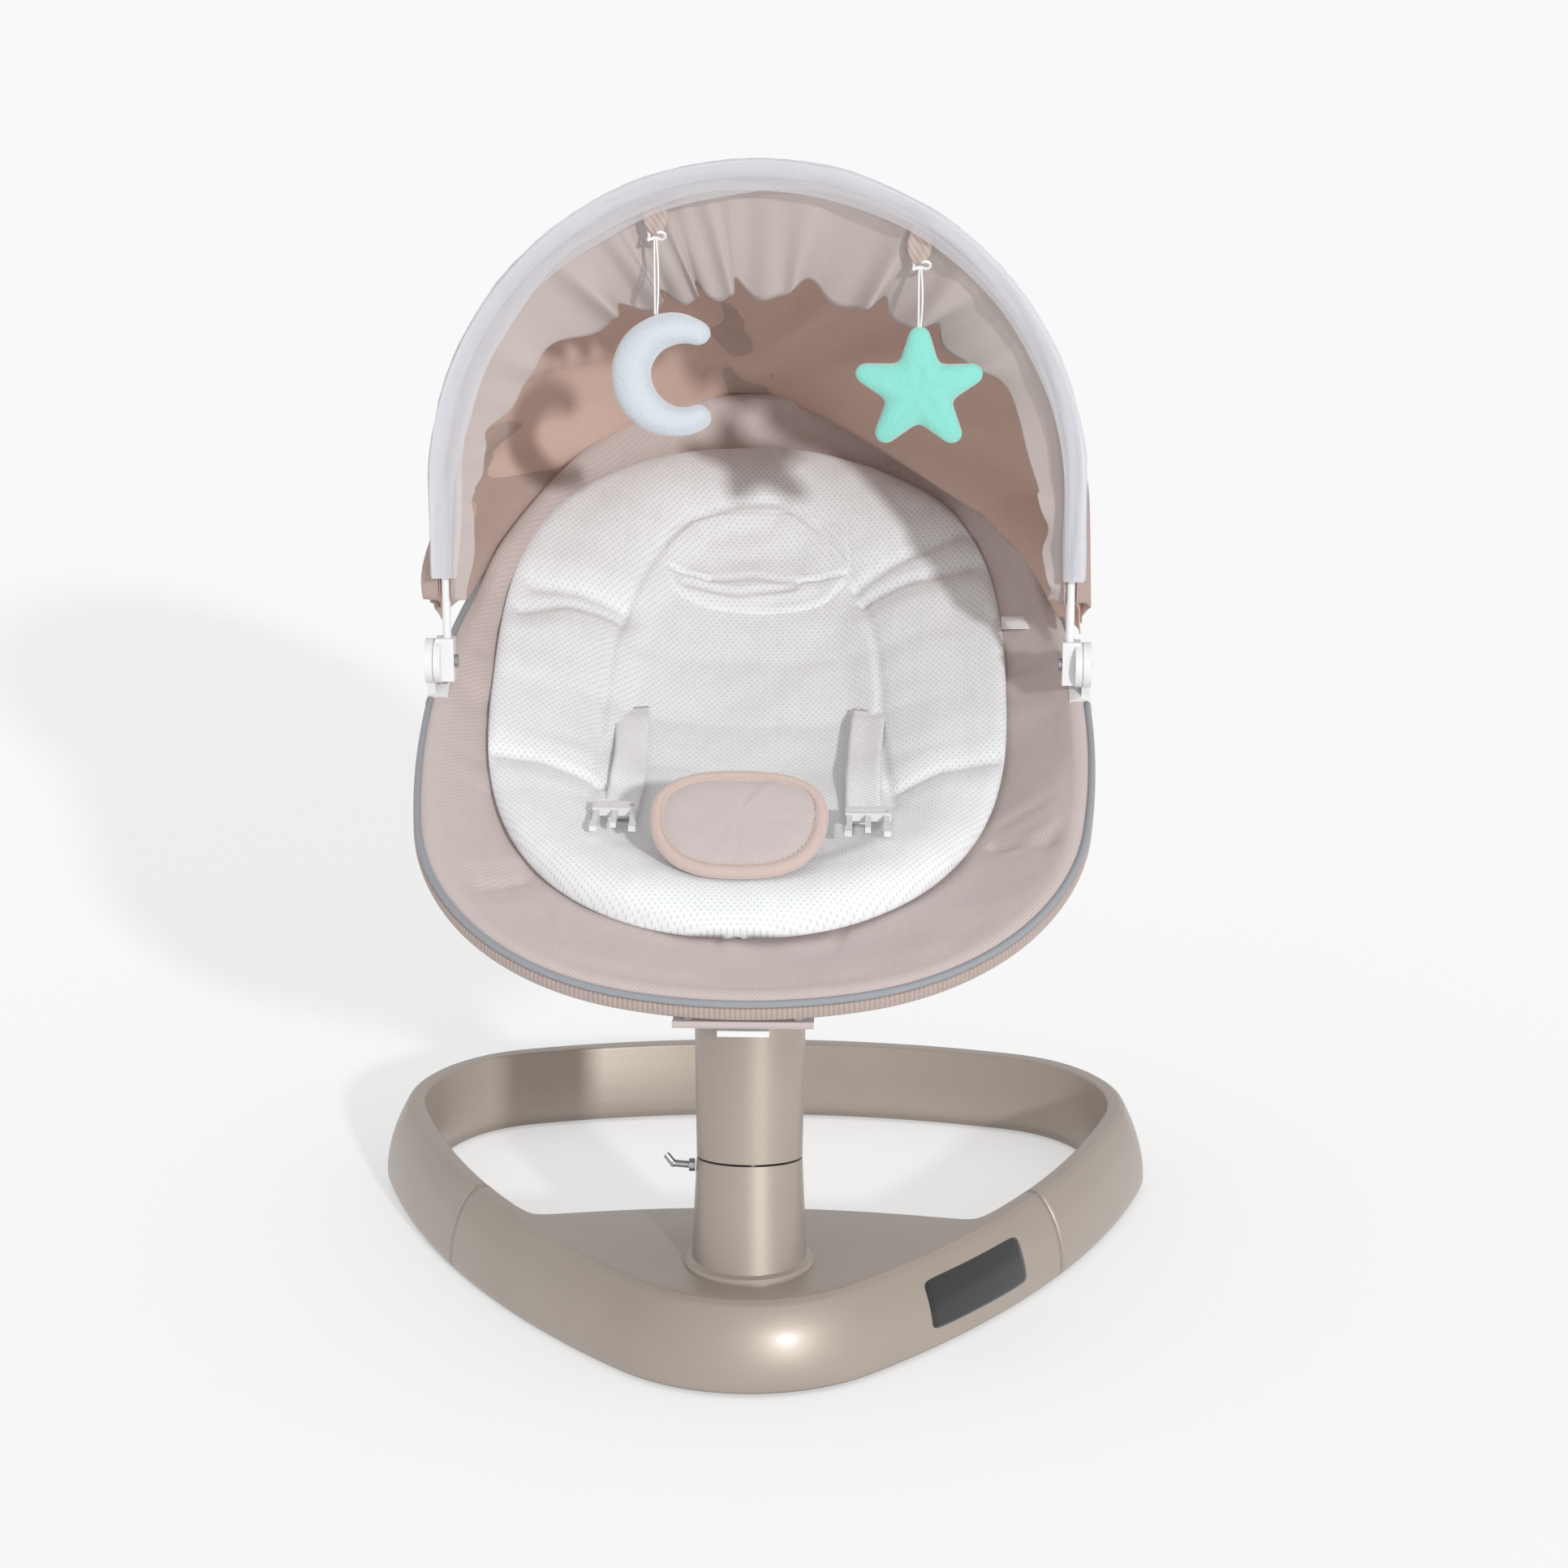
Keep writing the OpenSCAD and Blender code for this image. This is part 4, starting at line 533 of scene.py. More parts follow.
for side, name, x, string, strand_gap, node_name, body in (
        ("moon", "moon_string", -70, 54, 1.0, "moon_cord", "moon"),
        ("star", "star_string", 113, 43, 1.0, "star_cord", "star")):
    top = toy_pivot(x) - [0, 0, 1.5]
    for k, off in (("a", -1), ("b", 1)):
        path = []
        for i in range(17):
            v = i / 16
            spread = strand_gap * off * (0.8 + 0.5 * math.sin(math.pi * v))
            path.append(top + [spread + 0.5 * math.sin(math.pi * v), 0, -(string - 1.8) * v])
        cord = cord_spline(f"{name}_{k}", path, 0.7, elastic, body, node_name)


# --- base ring: smooth mouldings -----------------------------------------------------------
WALL = [[0.90, 0], [1, 0.10], [0.97, 0.30], [0.84, 0.50], [0.62, 0.70], [0.34, 0.86], [0.08, 0.97]]
BASE_H, LIFT, RIM, SPREAD, SEAM = 62, 3, 12, 8, -30


def bulge(a):
    f = 180 - a if a > 90 else -180 - a if a < -90 else a
    return mix(20, 12, float(smooth((f + 20) / 30)))


def wall_z(share):
    return LIFT + (BASE_H - LIFT) * share


def deck_edge(x):
    return -99 - 620 + math.sqrt(max(1, 620 * 620 - x * x))


def inner_edge(a, spread, decked):
    x, y = BASE.grown(-RIM - spread).point(a)
    if decked:
        b = deck_edge(x) + spread
        y = (y + b + math.sqrt((y - b) ** 2 + 144)) / 2
    return np.array([x, y])


def catmull(points, per):
    p = np.asarray(points, float)
    p = np.vstack([2 * p[0] - p[1], p, 2 * p[-1] - p[-2]])
    out = []
    for i in range(1, len(p) - 2):
        for k in range(per):
            t = k / per
            a, b, c, d = p[i - 1:i + 3]
            out.append(0.5 * (2 * b + (c - a) * t + (2 * a - 5 * b + 4 * c - d) * t * t
                              + (3 * b - a - 3 * c + d) * t ** 3))
    out.append(p[-2])
    return np.array(out)


def shell_ring(a, decked):
    """One section of a moulding, from the floor outside, over the top, to the floor inside."""
    wall = catmull(WALL, 3)
    out = []
    for share, up in wall:
        p = BASE.grown(bulge(a) * share).point(a)
        out.append([p[0], p[1], wall_z(up)])
    ridge = np.array(BASE.point(a))
    top = inner_edge(a, 0, decked)
    inward = (top - ridge) / np.linalg.norm(top - ridge)
    for turn in (35, 65, 90):
        lift = math.sin(rad(turn))
        out.append([*(ridge + inward * 2.2 * lift * 0.8), BASE_H - 1.6 * (1 - lift)])
    width = np.linalg.norm(top - ridge)
    for share in ((0.25, 0.5, 0.75) if not decked or width < 30 else (0.06, 0.3, 0.6, 0.9))[:3]:
        out.append([*(ridge + inward * (2 + (width - 4) * share)), BASE_H])
    for turn in (90, 60, 30, 0):
        out.append([*(top - inward * 2 * (1 - math.cos(rad(turn)))), BASE_H - 2 * (1 - math.sin(rad(turn)))])
    for share, spread in ((0.75, 0.3), (0.5, 0.75), (0.25, 0.92), (0, 1)):
        out.append([*inner_edge(a, SPREAD * spread, decked), wall_z(share)])
    return out


def even_turns(first, last, count):
    """Normal directions that step evenly along the ring."""
    dense = np.linspace(first, last, 2400)
    p = np.array([BASE.point(a) for a in dense])
    run = np.concatenate([[0], np.cumsum(np.linalg.norm(np.diff(p, axis=0), axis=1))])
    return np.interp(np.linspace(0, run[-1], count), run, dense)


def shell_piece(name, first, last, count, decked, node_name):
    rings = np.array([shell_ring(a, decked) for a in even_turns(first, last, count)])
    obj = sheet_piece(name, rings, champagne, "base", flip=True,
                      replaces=(node_name,), slot="champagne_shell")
    s = obj.modifiers.new("wall", "SOLIDIFY")
    s.thickness, s.offset, s.use_even_offset = 0.0028, -1, False
    return obj


shell_piece("rear_moulding", SEAM + 0.055, 180 - SEAM - 0.055, 190, False, "base_rear_shell")
shell_piece("front_moulding", -180 - SEAM + 0.055, SEAM - 0.055, 110, True, "base_front_shell")


def wall_at(a, share_up, out):
    wall = catmull(WALL, 3)
    share = np.interp(share_up, wall[:, 1], wall[:, 0])
    p = BASE.grown(bulge(a) * share + out).point(a)
    return [p[0], p[1], wall_z(share_up)]


WINDOW_TURNS, WINDOW_SHARES = (-42.5, -34.0), (0.24, 0.80)     # its span round and up the wall
WINDOW_LIFT = 1.1                                              # how far it stands off the wall
WINDOW_SQUARE = 12                                             # the higher, the sharper its corners


def control_window():
    """The glossy window on the nose's right, its grid drawn in to rounded corners."""
    rows = []
    for v in np.linspace(-1, 1, 25):
        row = []
        for u in np.linspace(-1, 1, 41):
            k = max(abs(u), abs(v))
            round_reach = (abs(u) ** WINDOW_SQUARE + abs(v) ** WINDOW_SQUARE) ** (1 / WINDOW_SQUARE)
            fit = 1 if k == 0 else k / round_reach
            turn, share = mix(*WINDOW_TURNS, (u * fit + 1) / 2), mix(*WINDOW_SHARES, (v * fit + 1) / 2)
            row.append(wall_at(turn, share, WINDOW_LIFT * (1 if k < 0.97 else 0.2)))
        rows.append(row)
    return sheet_piece("control_window", rows, lens, "base", replaces=("panel_lens",), slot="panel_lens")


control_window()


# --- seat: rings that follow the loop, then close in on the tub ------------------------------
def even_loop(o, count):
    dense = np.arange(-180, 180, 0.25)
    p = np.array([o.point(a) for a in dense])
    run = np.concatenate([[0], np.cumsum(np.linalg.norm(np.diff(np.vstack([p, p[:1]]), axis=0), axis=1))])
    turn = np.interp(np.linspace(0, run[-1], count, endpoint=False), run, np.append(dense, 180))
    return turn


LOOP_TURNS = even_loop(LOOP, 520)
SEAMS = [((-194, 105), (-178, 125), (-158, 143)), ((231, 150), (203, 171), (168, 190)),
         ((-160, 614), (-136, 590)), ((112, 629), (95, 626))]


def off_segment(x, s, a, b):
    d = np.subtract(b, a)
    w = np.clip(((x - a[0]) * d[0] + (s - a[1]) * d[1]) / d.dot(d), 0, 1)
    return math.hypot(x - a[0] - w * d[0], s - a[1] - w * d[1]), w


def seam_dip(x, s, line, width):
    near = min(off_segment(x, s, a, b)[0] for a, b in zip(line, line[1:]))
    return float(bump(near, width))


# short gathers of the cover: place across and along, turn, length, height
GATHERS = [
    (-150, 118, -62, 34, 2.6), (-128, 96, -75, 26, 2.0), (60, 84, 80, 30, -1.8), (-20, 80, 90, 26, -1.6),
    (196, 182, 20, 40, 2.2), (186, 214, 10, 34, -2.0), (-205, 250, 5, 60, 1.8), (-196, 330, 12, 60, -1.8),
    (204, 330, -14, 70, 2.2), (206, 372, -28, 46, -3.0), (-204, 420, 24, 60, 2.0), (-214, 372, 40, 36, -2.6)]


def cover_relief(x, s):
    """Padding, seams and soft creases of the seat cover, above its plain tub."""
    n = 2.8 * wobble(x, s, 0, 90, 1) + 1.2 * wobble(x, s, 0, 34, 2)
    for line in SEAMS:
        n -= 3.6 * seam_dip(x, s, line, 8) + 3.4 * seam_dip(x, s, line, 26)
    for cx, cs, turn, size, high in GATHERS:
        c, q = math.cos(rad(turn)), math.sin(rad(turn))
        along, off = (x - cx) * c + (s - cs) * q, -(x - cx) * q + (s - cs) * c
        n += high * float(bump(along, size)) * float(bump(off, size * 0.28))
    return n


def head_roll(s, inset):
    """The cover's soft rolled edge round the head, which hides the piping from inside."""
    head = float(smooth((s - 424) / 60))
    return head * 10.5 * float(smooth((inset - 1) / 5)) * float(1 - smooth((inset - 6) / 30))


def cover_ring_points():
    rims = [(2.0, -4.0), (3.4, -1.6), (4.6, 0.4), (6.4, 1.6),
            (8.8, 2.2), (11.2, 2.3), (13.4, 2.0), (15.4, 1.4)]
    rows = []
    for inset, n in rims:
        o = LOOP.grown(-inset)
        rows.append([[*p, n + head_roll(p[1], inset)] for p in (o.point(a) for a in LOOP_TURNS)])
    for k in [*np.linspace(1, 0.58, 56)[1:], *np.linspace(0.57, 0.03, 12)]:
        row = []
        for a in LOOP_TURNS:
            p = TUB.point(a)
            x, s = p[0] * k, 345 + (p[1] - 345) * k
            fade = float(smooth((1 - k) / 0.06))
            inset = 15.4 + (1 - k) * math.hypot(p[0], p[1] - 345)
            edge = 5.4 * float(1 - smooth((inset - 15.4) / 60))
            row.append([x, s, tub_n(x, s) + edge + fade * cover_relief(x, s) + head_roll(s, inset)])
        rows.append(row)
    return np.array(rows)


def to_seat(grid):
    g = np.asarray(grid, float)
    out = np.empty_like(g)
    x, s, n = g[..., 0], g[..., 1], g[..., 2]
    out[..., 0] = x
    out[..., 1] = -295 + s * math.cos(TILT) - n * math.sin(TILT)
    out[..., 2] = 281 + s * math.sin(TILT) + n * math.cos(TILT)
    return out


def ring_piece(name, rows, material, body, uv_scale=1.0, **more):
    """Closed rings of seat points that shrink to a middle, as one surface."""
    g = np.asarray(rows, float)
    n, k = g.shape[:2]
    faces = grid_faces(n, k, False, True)
    faces.append(tuple((n - 1) * k + i for i in range(k)))
    uv = g[..., :2] / 1000 * uv_scale
    return make(name, to_seat(g), faces, material, body, uv, **more)


cover = ring_piece("seat_cover_cloth", cover_ring_points(), taupe, "seat",
                   replaces=("seat_cover",), slot="taupe_cloth")
s = cover.modifiers.new("padding", "SOLIDIFY")
s.thickness, s.offset = 0.005, -1


# Piping and the wrapped edge, in two lengths that stop at the canopy's clips.
SPLIT = CENTRE.normal_at(HINGE_S)
CLIP_GAP = 12.6 / LOOP.radii[2] * 180 / math.pi


def edge_lengths():
    yield "foot", -180 - SPLIT + CLIP_GAP, SPLIT - CLIP_GAP, 150
    yield "head", SPLIT + CLIP_GAP, 180 - SPLIT - CLIP_GAP, 130


def edge_rings(outline, first, last, count, profile, ripple=0.0):
    rings = []
    for a in np.linspace(first, last, count):
        c = outline.point(a)
        sway = ripple * wobble(c[0], c[1], 0, 60, 5)
        rings.append([[c[0] + (q[0] + sway) * math.cos(rad(a)), c[1] + (q[0] + sway) * math.sin(rad(a)),
                       q[1] + sway * 0.5] for q in profile])
    return to_seat(rings)


def rounded(points):
    """A closed profile with its corners eased."""
    p = np.asarray(points, float)
    n = len(p)
    out = []
    for i in range(n):
        a, b, c = p[i - 1], p[i], p[(i + 1) % n]
        out += [mix(b, a, 0.3), b * 0.5 + mix(b, a, 0.3) * 0.25 + mix(b, c, 0.3) * 0.25, mix(b, c, 0.3)]
    return out


pipe_profile = [[PIPE_R * math.cos(a), PIPE_R * math.sin(a)]
                for a in np.linspace(0, 2 * math.pi, 12, endpoint=False)]
band_profile = rounded([[-2.4, -2.0], [-2.4, -HANG + 0.9], [-3.2, -HANG + 0.3], [-1.4, -HANG - 0.2],
                        [0.0, -HANG + 1.6], [0.6, -HANG + 4.5], [0.5, -5.5], [0, -3.0]])
for part, first, last, count in edge_lengths():
    pipe_rings = edge_rings(LOOP.grown(-PIPE_R), first, last, count, pipe_profile, 0.25)
    pipe = tube_piece(f"piping_{part}", pipe_rings, piping_cloth, "seat", replaces=("cover_piping",),
                      slot="piping_cloth")
    band = tube_piece(f"edge_band_{part}", edge_rings(LOOP, first, last, count, band_profile, 0.25),
                      ribbed, "seat", replaces=("cover_band",), slot="band_cloth")


# --- liner pad -------------------------------------------------------------------------------
def signed(v, power):
    return math.copysign(abs(v) ** power, v)


def liner_rim(theta):
    c, s = math.cos(theta), math.sin(theta)
    return LINER_X + LINER_W / 2 * signed(c, 2 / 2.2), LINER_MID + LINER_HALF * signed(s, 2 / 2.6)


def even_closed(line, count):
    """Points evenly spaced along a closed parametric line."""
    dense = np.array([line(a) for a in np.linspace(0, 2 * math.pi, 3000)])
    run = np.concatenate([[0], np.cumsum(np.linalg.norm(np.diff(dense, axis=0), axis=1))])
    at = np.linspace(0, run[-1], count, endpoint=False)
    return np.stack([np.interp(at, run, dense[:, 0]), np.interp(at, run, dense[:, 1])], 1)


# The seat's inner panel: a seamed arch at the head, open to the foot.
PANEL = [(-118, 236), (-112, 271), (-116, 323), (-116, 369), (-113, 422), (-104, 468), (-90, 507),
         (-82, 524), (-61, 554), (-27, 570), (10, 572), (40, 546), (59, 515), (75, 477),
         (85, 425), (88, 381), (88, 335), (94, 270), (98, 236)]
POCKET = PANEL + [(100, 200), (88, 168), (55, 150), (-10, 142), (-75, 150), (-106, 168), (-120, 200)]
CREASES = [((-175, 456), (-140, 462), (-108, 460)), ((-182, 428), (-148, 446), (-112, 450)),
           ((69, 494), (109, 513), (156, 528)), ((74, 478), (112, 488), (158, 492)),
           ((-190, 277), (-158, 275), (-108, 259)), ((103, 259), (132, 276), (171, 282))]


def near_line(x, s, line):
    """Distance from points to an open line, for whole arrays."""
    best = np.full(np.shape(x), 1e9)
    for a, b in zip(line, line[1:]):
        d = np.subtract(b, a)
        w = np.clip(((x - a[0]) * d[0] + (s - a[1]) * d[1]) / d.dot(d), 0, 1)
        best = np.minimum(best, np.hypot(x - a[0] - w * d[0], s - a[1] - w * d[1]))
    return best


def inside(x, s, ring):
    hit = np.zeros(np.shape(x), bool)
    for a, b in zip(ring, ring[1:] + ring[:1]):
        if a[1] != b[1]:
            cross = ((a[1] > s) != (b[1] > s)) & (x < (b[0] - a[0]) * (s - a[1]) / (b[1] - a[1]) + a[0])
            hit ^= cross
    return hit


def wobbles(x, s, size, seed):
    return np.array([[wobble(a, b, 0, size, seed) for a, b in zip(p, q)] for p, q in zip(x, s)])


def liner_relief(x, s):
    """Bolster, seams, quilting creases and slow swells of the pad's upper face."""
    seam = near_line(x, s, PANEL)
    edge = near_line(x, s, POCKET + POCKET[:1])
    within = inside(x, s, POCKET)
    n = 1.4 * wobbles(x, s, 70, 3) + 0.5 * wobbles(x, s, 26, 4)
    n -= np.where(within, 7.0 * smooth(edge / 26), 0)
    n += np.where(within, 0, 3.0 * bump(edge - 30, 34))
    n -= 2.6 * bump(seam, 5.5) + 1.2 * bump(seam, 16)
    for line in CREASES:
        near = near_line(x, s, line)
        n -= 3.4 * bump(near, 7) + 3.6 * bump(near, 24)
    hem = near_line(x, s, [(-157, 137), (-122, 112), (-77, 94), (-11, 86), (65, 94), (124, 110), (152, 144)])
    n -= 1.6 * bump(hem, 4)
    return n


def liner_top_all(x, s):
    return np.array([[liner_top(a, b) for a, b in zip(p, q)] for p, q in zip(x, s)])


def liner_rows():
    rim = even_closed(liner_rim, 300)
    centre = np.array([LINER_X, LINER_MID])
    reach = np.linalg.norm(rim - centre, axis=1)
    rows = []
    for inset, share in ((26, 0), (8, 0), (2.5, 0.06), (0.6, 0.24),
                         (0, 0.45), (0.5, 0.66), (2.2, 0.84), (5.5, 0.96)):
        q = centre + (rim - centre) * (1 - inset / reach)[:, None]
        rows.append((q, np.full(len(q), share)))
    for k in np.linspace(0, 1, 84)[:-1]:
        q = centre + (rim - centre) * ((1 - 9 / reach) * (1 - k) ** 1.0)[:, None]
        rows.append((q, np.ones(len(q))))
    xs = np.array([q[:, 0] for q, _ in rows])
    ss = np.array([q[:, 1] for q, _ in rows])
    share = np.array([w for _, w in rows])
    low = np.array([[tub_n(a, b) + 1.7 for a, b in zip(p, q)] for p, q in zip(xs, ss)])
    high = liner_top_all(xs, ss)
    relief = liner_relief(xs, ss) * smooth((share - 0.5) * 2)
    return np.stack([xs, ss, mix(low, high, share) + relief], -1)


liner_grid = liner_rows()
liner = ring_piece("seat_liner", liner_grid, spacer_mesh, "seat", replaces=("liner_pad",), slot="mesh_cloth")


def on_liner(x, s):
    """Height of the sculpted liner's top at a place away from its rim."""
    a, b = np.array([[float(x)]]), np.array([[float(s)]])
    return liner_top(x, s) + float(liner_relief(a, b)[0, 0])


def pillow_height(x, s):
    """The pillow in the arch: flush at the top, stuffed below its two strap slots."""
    n = liner_top_all(x, s) + liner_relief(x, s)
    n += 0.8 + 3.6 * bump(s - 493, 34) * (1 - np.clip(np.abs(x + 8) / 82, 0, 1) ** 5)
    for line, deep, width in ((((-74, 508), (-44, 504)), 2.6, 3.5), (((25, 503), (62, 506)), 2.6, 3.5),
                              (((-44, 504), (-10, 507), (25, 503)), 1.2, 6),
                              (((-80, 484), (-34, 478), (14, 482), (60, 490)), 1.4, 10),
                              (((-60, 496), (-20, 490), (20, 497)), 1.6, 6)):
        n -= deep * bump(near_line(x, s, line), width)
    return n + 0.9 * wobbles(x, s, 24, 6)


def pad_rows(outline, centre, height, embed, edge_r, rings=40):
    """Rings of a pad that rises out of the surface it is sewn to: its edge, then its top."""
    centre = np.asarray(centre, float)
    reach = np.linalg.norm(outline - centre, axis=1)
    xs, ss, sunk = [], [], []
    for share, up in [(1 - v * edge_r / reach, v) for v in (0, 0.3, 0.6, 0.85)] \
            + [((1 - edge_r / reach) * k, 1) for k in np.linspace(1, 0.02, rings)]:
        q = centre + (outline - centre) * share[:, None]
        xs.append(q[:, 0])
        ss.append(q[:, 1])
        sunk.append(np.full(len(q), embed * (1 - math.sin(up * math.pi / 2))))
    xs, ss = np.array(xs), np.array(ss)
    return np.stack([xs, ss, height(xs, ss) - np.array(sunk)], -1)


def support_rim(theta):
    c, s = math.cos(theta), math.sin(theta)
    return LINER_X + 75 * signed(c, 2 / 2.4), 520 + 47 * signed(s, 2 / 2.4)


pillow_rows = pad_rows(even_closed(support_rim, 220), (LINER_X, 520), pillow_height, 3.2, 7, 44)
support = ring_piece("head_pillow", pillow_rows, spacer_mesh, "seat", replaces=("head_support",),
                     slot="mesh_cloth")


# --- crotch pad ------------------------------------------------------------------------------
CROTCH_S, CROTCH_W, CROTCH_L, CROTCH_T, CROTCH_TURN = 122, 122, 88, 9, TILT + rad(14)
CROTCH = np.array(seat_point(LINER_X, CROTCH_S, liner_top(LINER_X, CROTCH_S) + CROTCH_T / 2 + 0.9))


def crotch_rim(theta):
    c, s = math.cos(theta), math.sin(theta)
    top = 0.82 if s > 0 else 1.18
    return CROTCH_W / 2 * signed(c, 0.8), CROTCH_L * (0.59 + top * 0.5 * signed(s, 0.85))


def on_crotch(p):
    x, y, z = p
    c, s = math.cos(CROTCH_TURN), math.sin(CROTCH_TURN)
    return CROTCH + [x, y * c - z * s, y * s + z * c]


def crotch_piece():
    rim = even_closed(crotch_rim, 160)
    centre = np.array([0, CROTCH_L * 0.56])
    reach = np.linalg.norm(rim - centre, axis=1)
    rows, marks = [], []
    half, bind = CROTCH_T / 2, 9.5
    section = [(30, -half + 1), (bind, -half + 0.4), (bind - 2, -half), (4, -half - 0.2), (1, -half * 0.6),
               (0, 0), (1, half * 0.62), (3.4, half * 0.98), (6, half * 1.02), (bind - 1.6, half * 0.86),
               (bind - 0.4, half * 0.6), (bind + 0.6, half * 0.64), (bind + 3, half * 0.86),
               (bind + 8, half * 1.05), (bind + 16, half * 1.16), (bind + 24, half * 1.2)]
    for inset, z in section:
        rows.append([[*(centre + (p - centre) * (1 - inset / d)), z + 0.35 * wobble(p[0], p[1], z, 16, 7)]
                     for p, d in zip(rim, reach)])
        marks.append(0 if inset < bind else 1)
    rows.append([[*(centre + (p - centre) * 0.06), half * 1.2] for p in rim])
    g = np.array(rows)
    points = np.array([[on_crotch(p) for p in row] for row in g])
    n, k = g.shape[:2]
    faces = grid_faces(n, k, False, True) + [tuple((n - 1) * k + i for i in range(k)), tuple(range(k))[::-1]]
    obj = make("crotch_cushion", points, faces, [taupe_plain, binding], "crotch_pad", g[..., :2] / 1000,
               replaces=("crotch_pad",), slot="taupe_cloth")
    for f in obj.data.polygons:
        ring = min(f.index // k, len(marks) - 1)
        f.material_index = 1 if marks[ring] == 0 and f.index < (n - 1) * k else 0
    sewn = [on_crotch([*(centre + (p - centre) * (1 - (bind - 1.4) / d)), half * 0.98])
            for p, d in zip(rim, reach)]
    stitches("crotch_stitching", sewn + sewn[:1], thread, "crotch_pad", 2.6, 1.5, 0.28)


crotch_piece()


# --- waist straps ------------------------------------------------------------------------------
def strap_piece(name, x0, lean, twist, node_name):
    rows = []
    for i in range(41):
        v = i / 40
        s = mix(366, 214, v)
        mid = x0 + lean * math.sin(math.pi * v * 0.9) - 2 * v
        roll = twist * math.sin(math.pi * min(1, v * 1.15)) ** 2
        lift = 2.6 + 5.0 * math.sin(math.pi * v) ** 2 - 3.4 * float(smooth((0.1 - v) / 0.1))
        row = []
        for j in range(9):
            w = (j / 8 - 0.5) * 25
            x = mid + w * math.cos(rad(roll))
            rise = lift + w * math.sin(rad(roll)) + 0.5 * math.cos(math.pi * j / 4)
            row.append([x, s, on_liner(mid, s) + rise])
        rows.append(row)
    return sheet_piece(name, to_seat(rows), webbing, "seat", 1.3, replaces=(node_name,), slot="webbing")


strap_piece("waist_strap_left", LINER_X - 88, 5, -24, "strap_left")
strap_piece("waist_strap_right", LINER_X + 88, -3, 10, "strap_right")


# --- canopy: one sheet from the bow to the rim of the seat --------------------------------------
NET_IN, NET_OUT = BOW_R - BOW_D / 2 + 0.5, BOW_R - BOW_D / 2 + 0.5 + 12
FRONT_R, REAR_R, HOOD_LOW, HOOD_T = BOW_R + BOW_D / 2 + 0.5, NET_OUT + 1, 44, 2.4
SPLIT_TURN, TUCK = 30, 60
RIM_LINE = LOOP.grown(-PIPE_R)
RIM_START = RIM_LINE.normal_at(HINGE_S + 100)
RIM_SIDE = rad(RIM_LINE.breaks[3] - RIM_START) * RIM_LINE.radii[2]
RIM_END = rad(90 - RIM_LINE.breaks[3]) * RIM_LINE.radii[3]


def rim_polar(t):
    d = (RIM_SIDE + RIM_END) * (1 - abs(1 - 2 * t))
    a = RIM_START + math.degrees(d / RIM_LINE.radii[2]) if d < RIM_SIDE \
        else RIM_LINE.breaks[3] + math.degrees((d - RIM_SIDE) / RIM_LINE.radii[3])
    p = RIM_LINE.point(a)
    along, up = p[1] - HINGE_S, PIPE_R + 0.6 - HINGE_N
    y = along * math.cos(TILT) - up * math.sin(TILT)
    z = along * math.sin(TILT) + up * math.cos(TILT)
    return (p[0] if t < 0.5 else -p[0]), math.hypot(y, z), math.degrees(math.atan2(y, z))


def turned(p, turn):
    return np.array([p[0], p[1] * math.sin(rad(turn)), p[1] * math.cos(rad(turn))])


def hood_point(t, k):
    """A point of the hood: t round the arch, k from the bow's front edge to the rim."""
    b = rim_polar(t)
    turn = b[2] * k
    r = mix(FRONT_R, REAR_R, float(smooth(turn / SPLIT_TURN))) + HOOD_T / 2
    a = arch_point(t, r, HOOD_LOW)
    w = float(smooth((turn - TUCK) / (b[2] - TUCK)))
    return turned([mix(a[0], b[0], w), mix(a[1], b[1], w)], turn)


def hood_sway(t, k):
    """Soft folds of the hood's cloth, in millimetres along its normal."""
    slack = math.sin(math.pi * min(1, k)) ** 0.8
    rib = math.sin(2 * math.pi * (t * 5.5 + 0.4 * math.sin(5 * t) + 0.25 * k))
    deep = 3.2 * rib * slack * float(smooth((k - 0.25) / 0.5))
    deep += 3.0 * wobble(t * 620, k * 420, 0, 120, 8) * slack
    deep += 1.2 * wobble(t * 620, k * 420, 0, 45, 9) * slack
    # the lining sags into two soft ridges that meet low at the rim's middle
    for t0, k0, lean, size, high in ((0.47, 0.84, -0.30, 0.050, 9.0), (0.53, 0.86, 0.42, 0.060, 8.0),
                                     (0.60, 0.80, 0.55, 0.045, -5.0), (0.40, 0.80, -0.5, 0.045, -5.0),
                                     (0.22, 0.78, -0.9, 0.05, 4.0), (0.78, 0.80, 0.9, 0.05, 4.5)):
        off = (t - t0) - lean * (k0 - k)
        deep += high * float(bump(off, size)) * float(bump(k - k0, 0.19))
    # a pouch of slack cloth low on the left, outside the net
    deep -= 11.0 * float(bump(t - 0.985, 0.055)) * float(bump(k - 0.13, 0.16))
    return deep - 2.0 * slack


def with_sway(surface, sway, ts, ks):
    g = np.array([[surface(t, k) for t in ts] for k in ks])
    du, dv = np.gradient(g, axis=1), np.gradient(g, axis=0)
    normal = np.cross(du, dv)
    normal /= np.maximum(1e-9, np.linalg.norm(normal, axis=2))[..., None]
    off = np.array([[sway(t, k) for t in ts] for k in ks])
    return g + normal * off[..., None]


def hinge_grid(g):
    return np.asarray(g) + [0, HINGE[1], HINGE[2]]


def cloth_sheet(name, grid, material, body, thick, held, rests_on=(), **more):
    obj = sheet_piece(name, grid, material, body, thick, **more)
    return obj


hood_grid = hinge_grid(with_sway(hood_point, hood_sway, steps(0, 1, 150), steps(0, 1, 96)))
hood = cloth_sheet("canopy_hood", hood_grid, hood_cloth, None, 1.2, "stretched",
                   ("canopy_bow", "piping_head"),
                   replaces=("hood_rear_panel", "hood_front_panel"), slot="taupe_cloth")
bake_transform(hood)


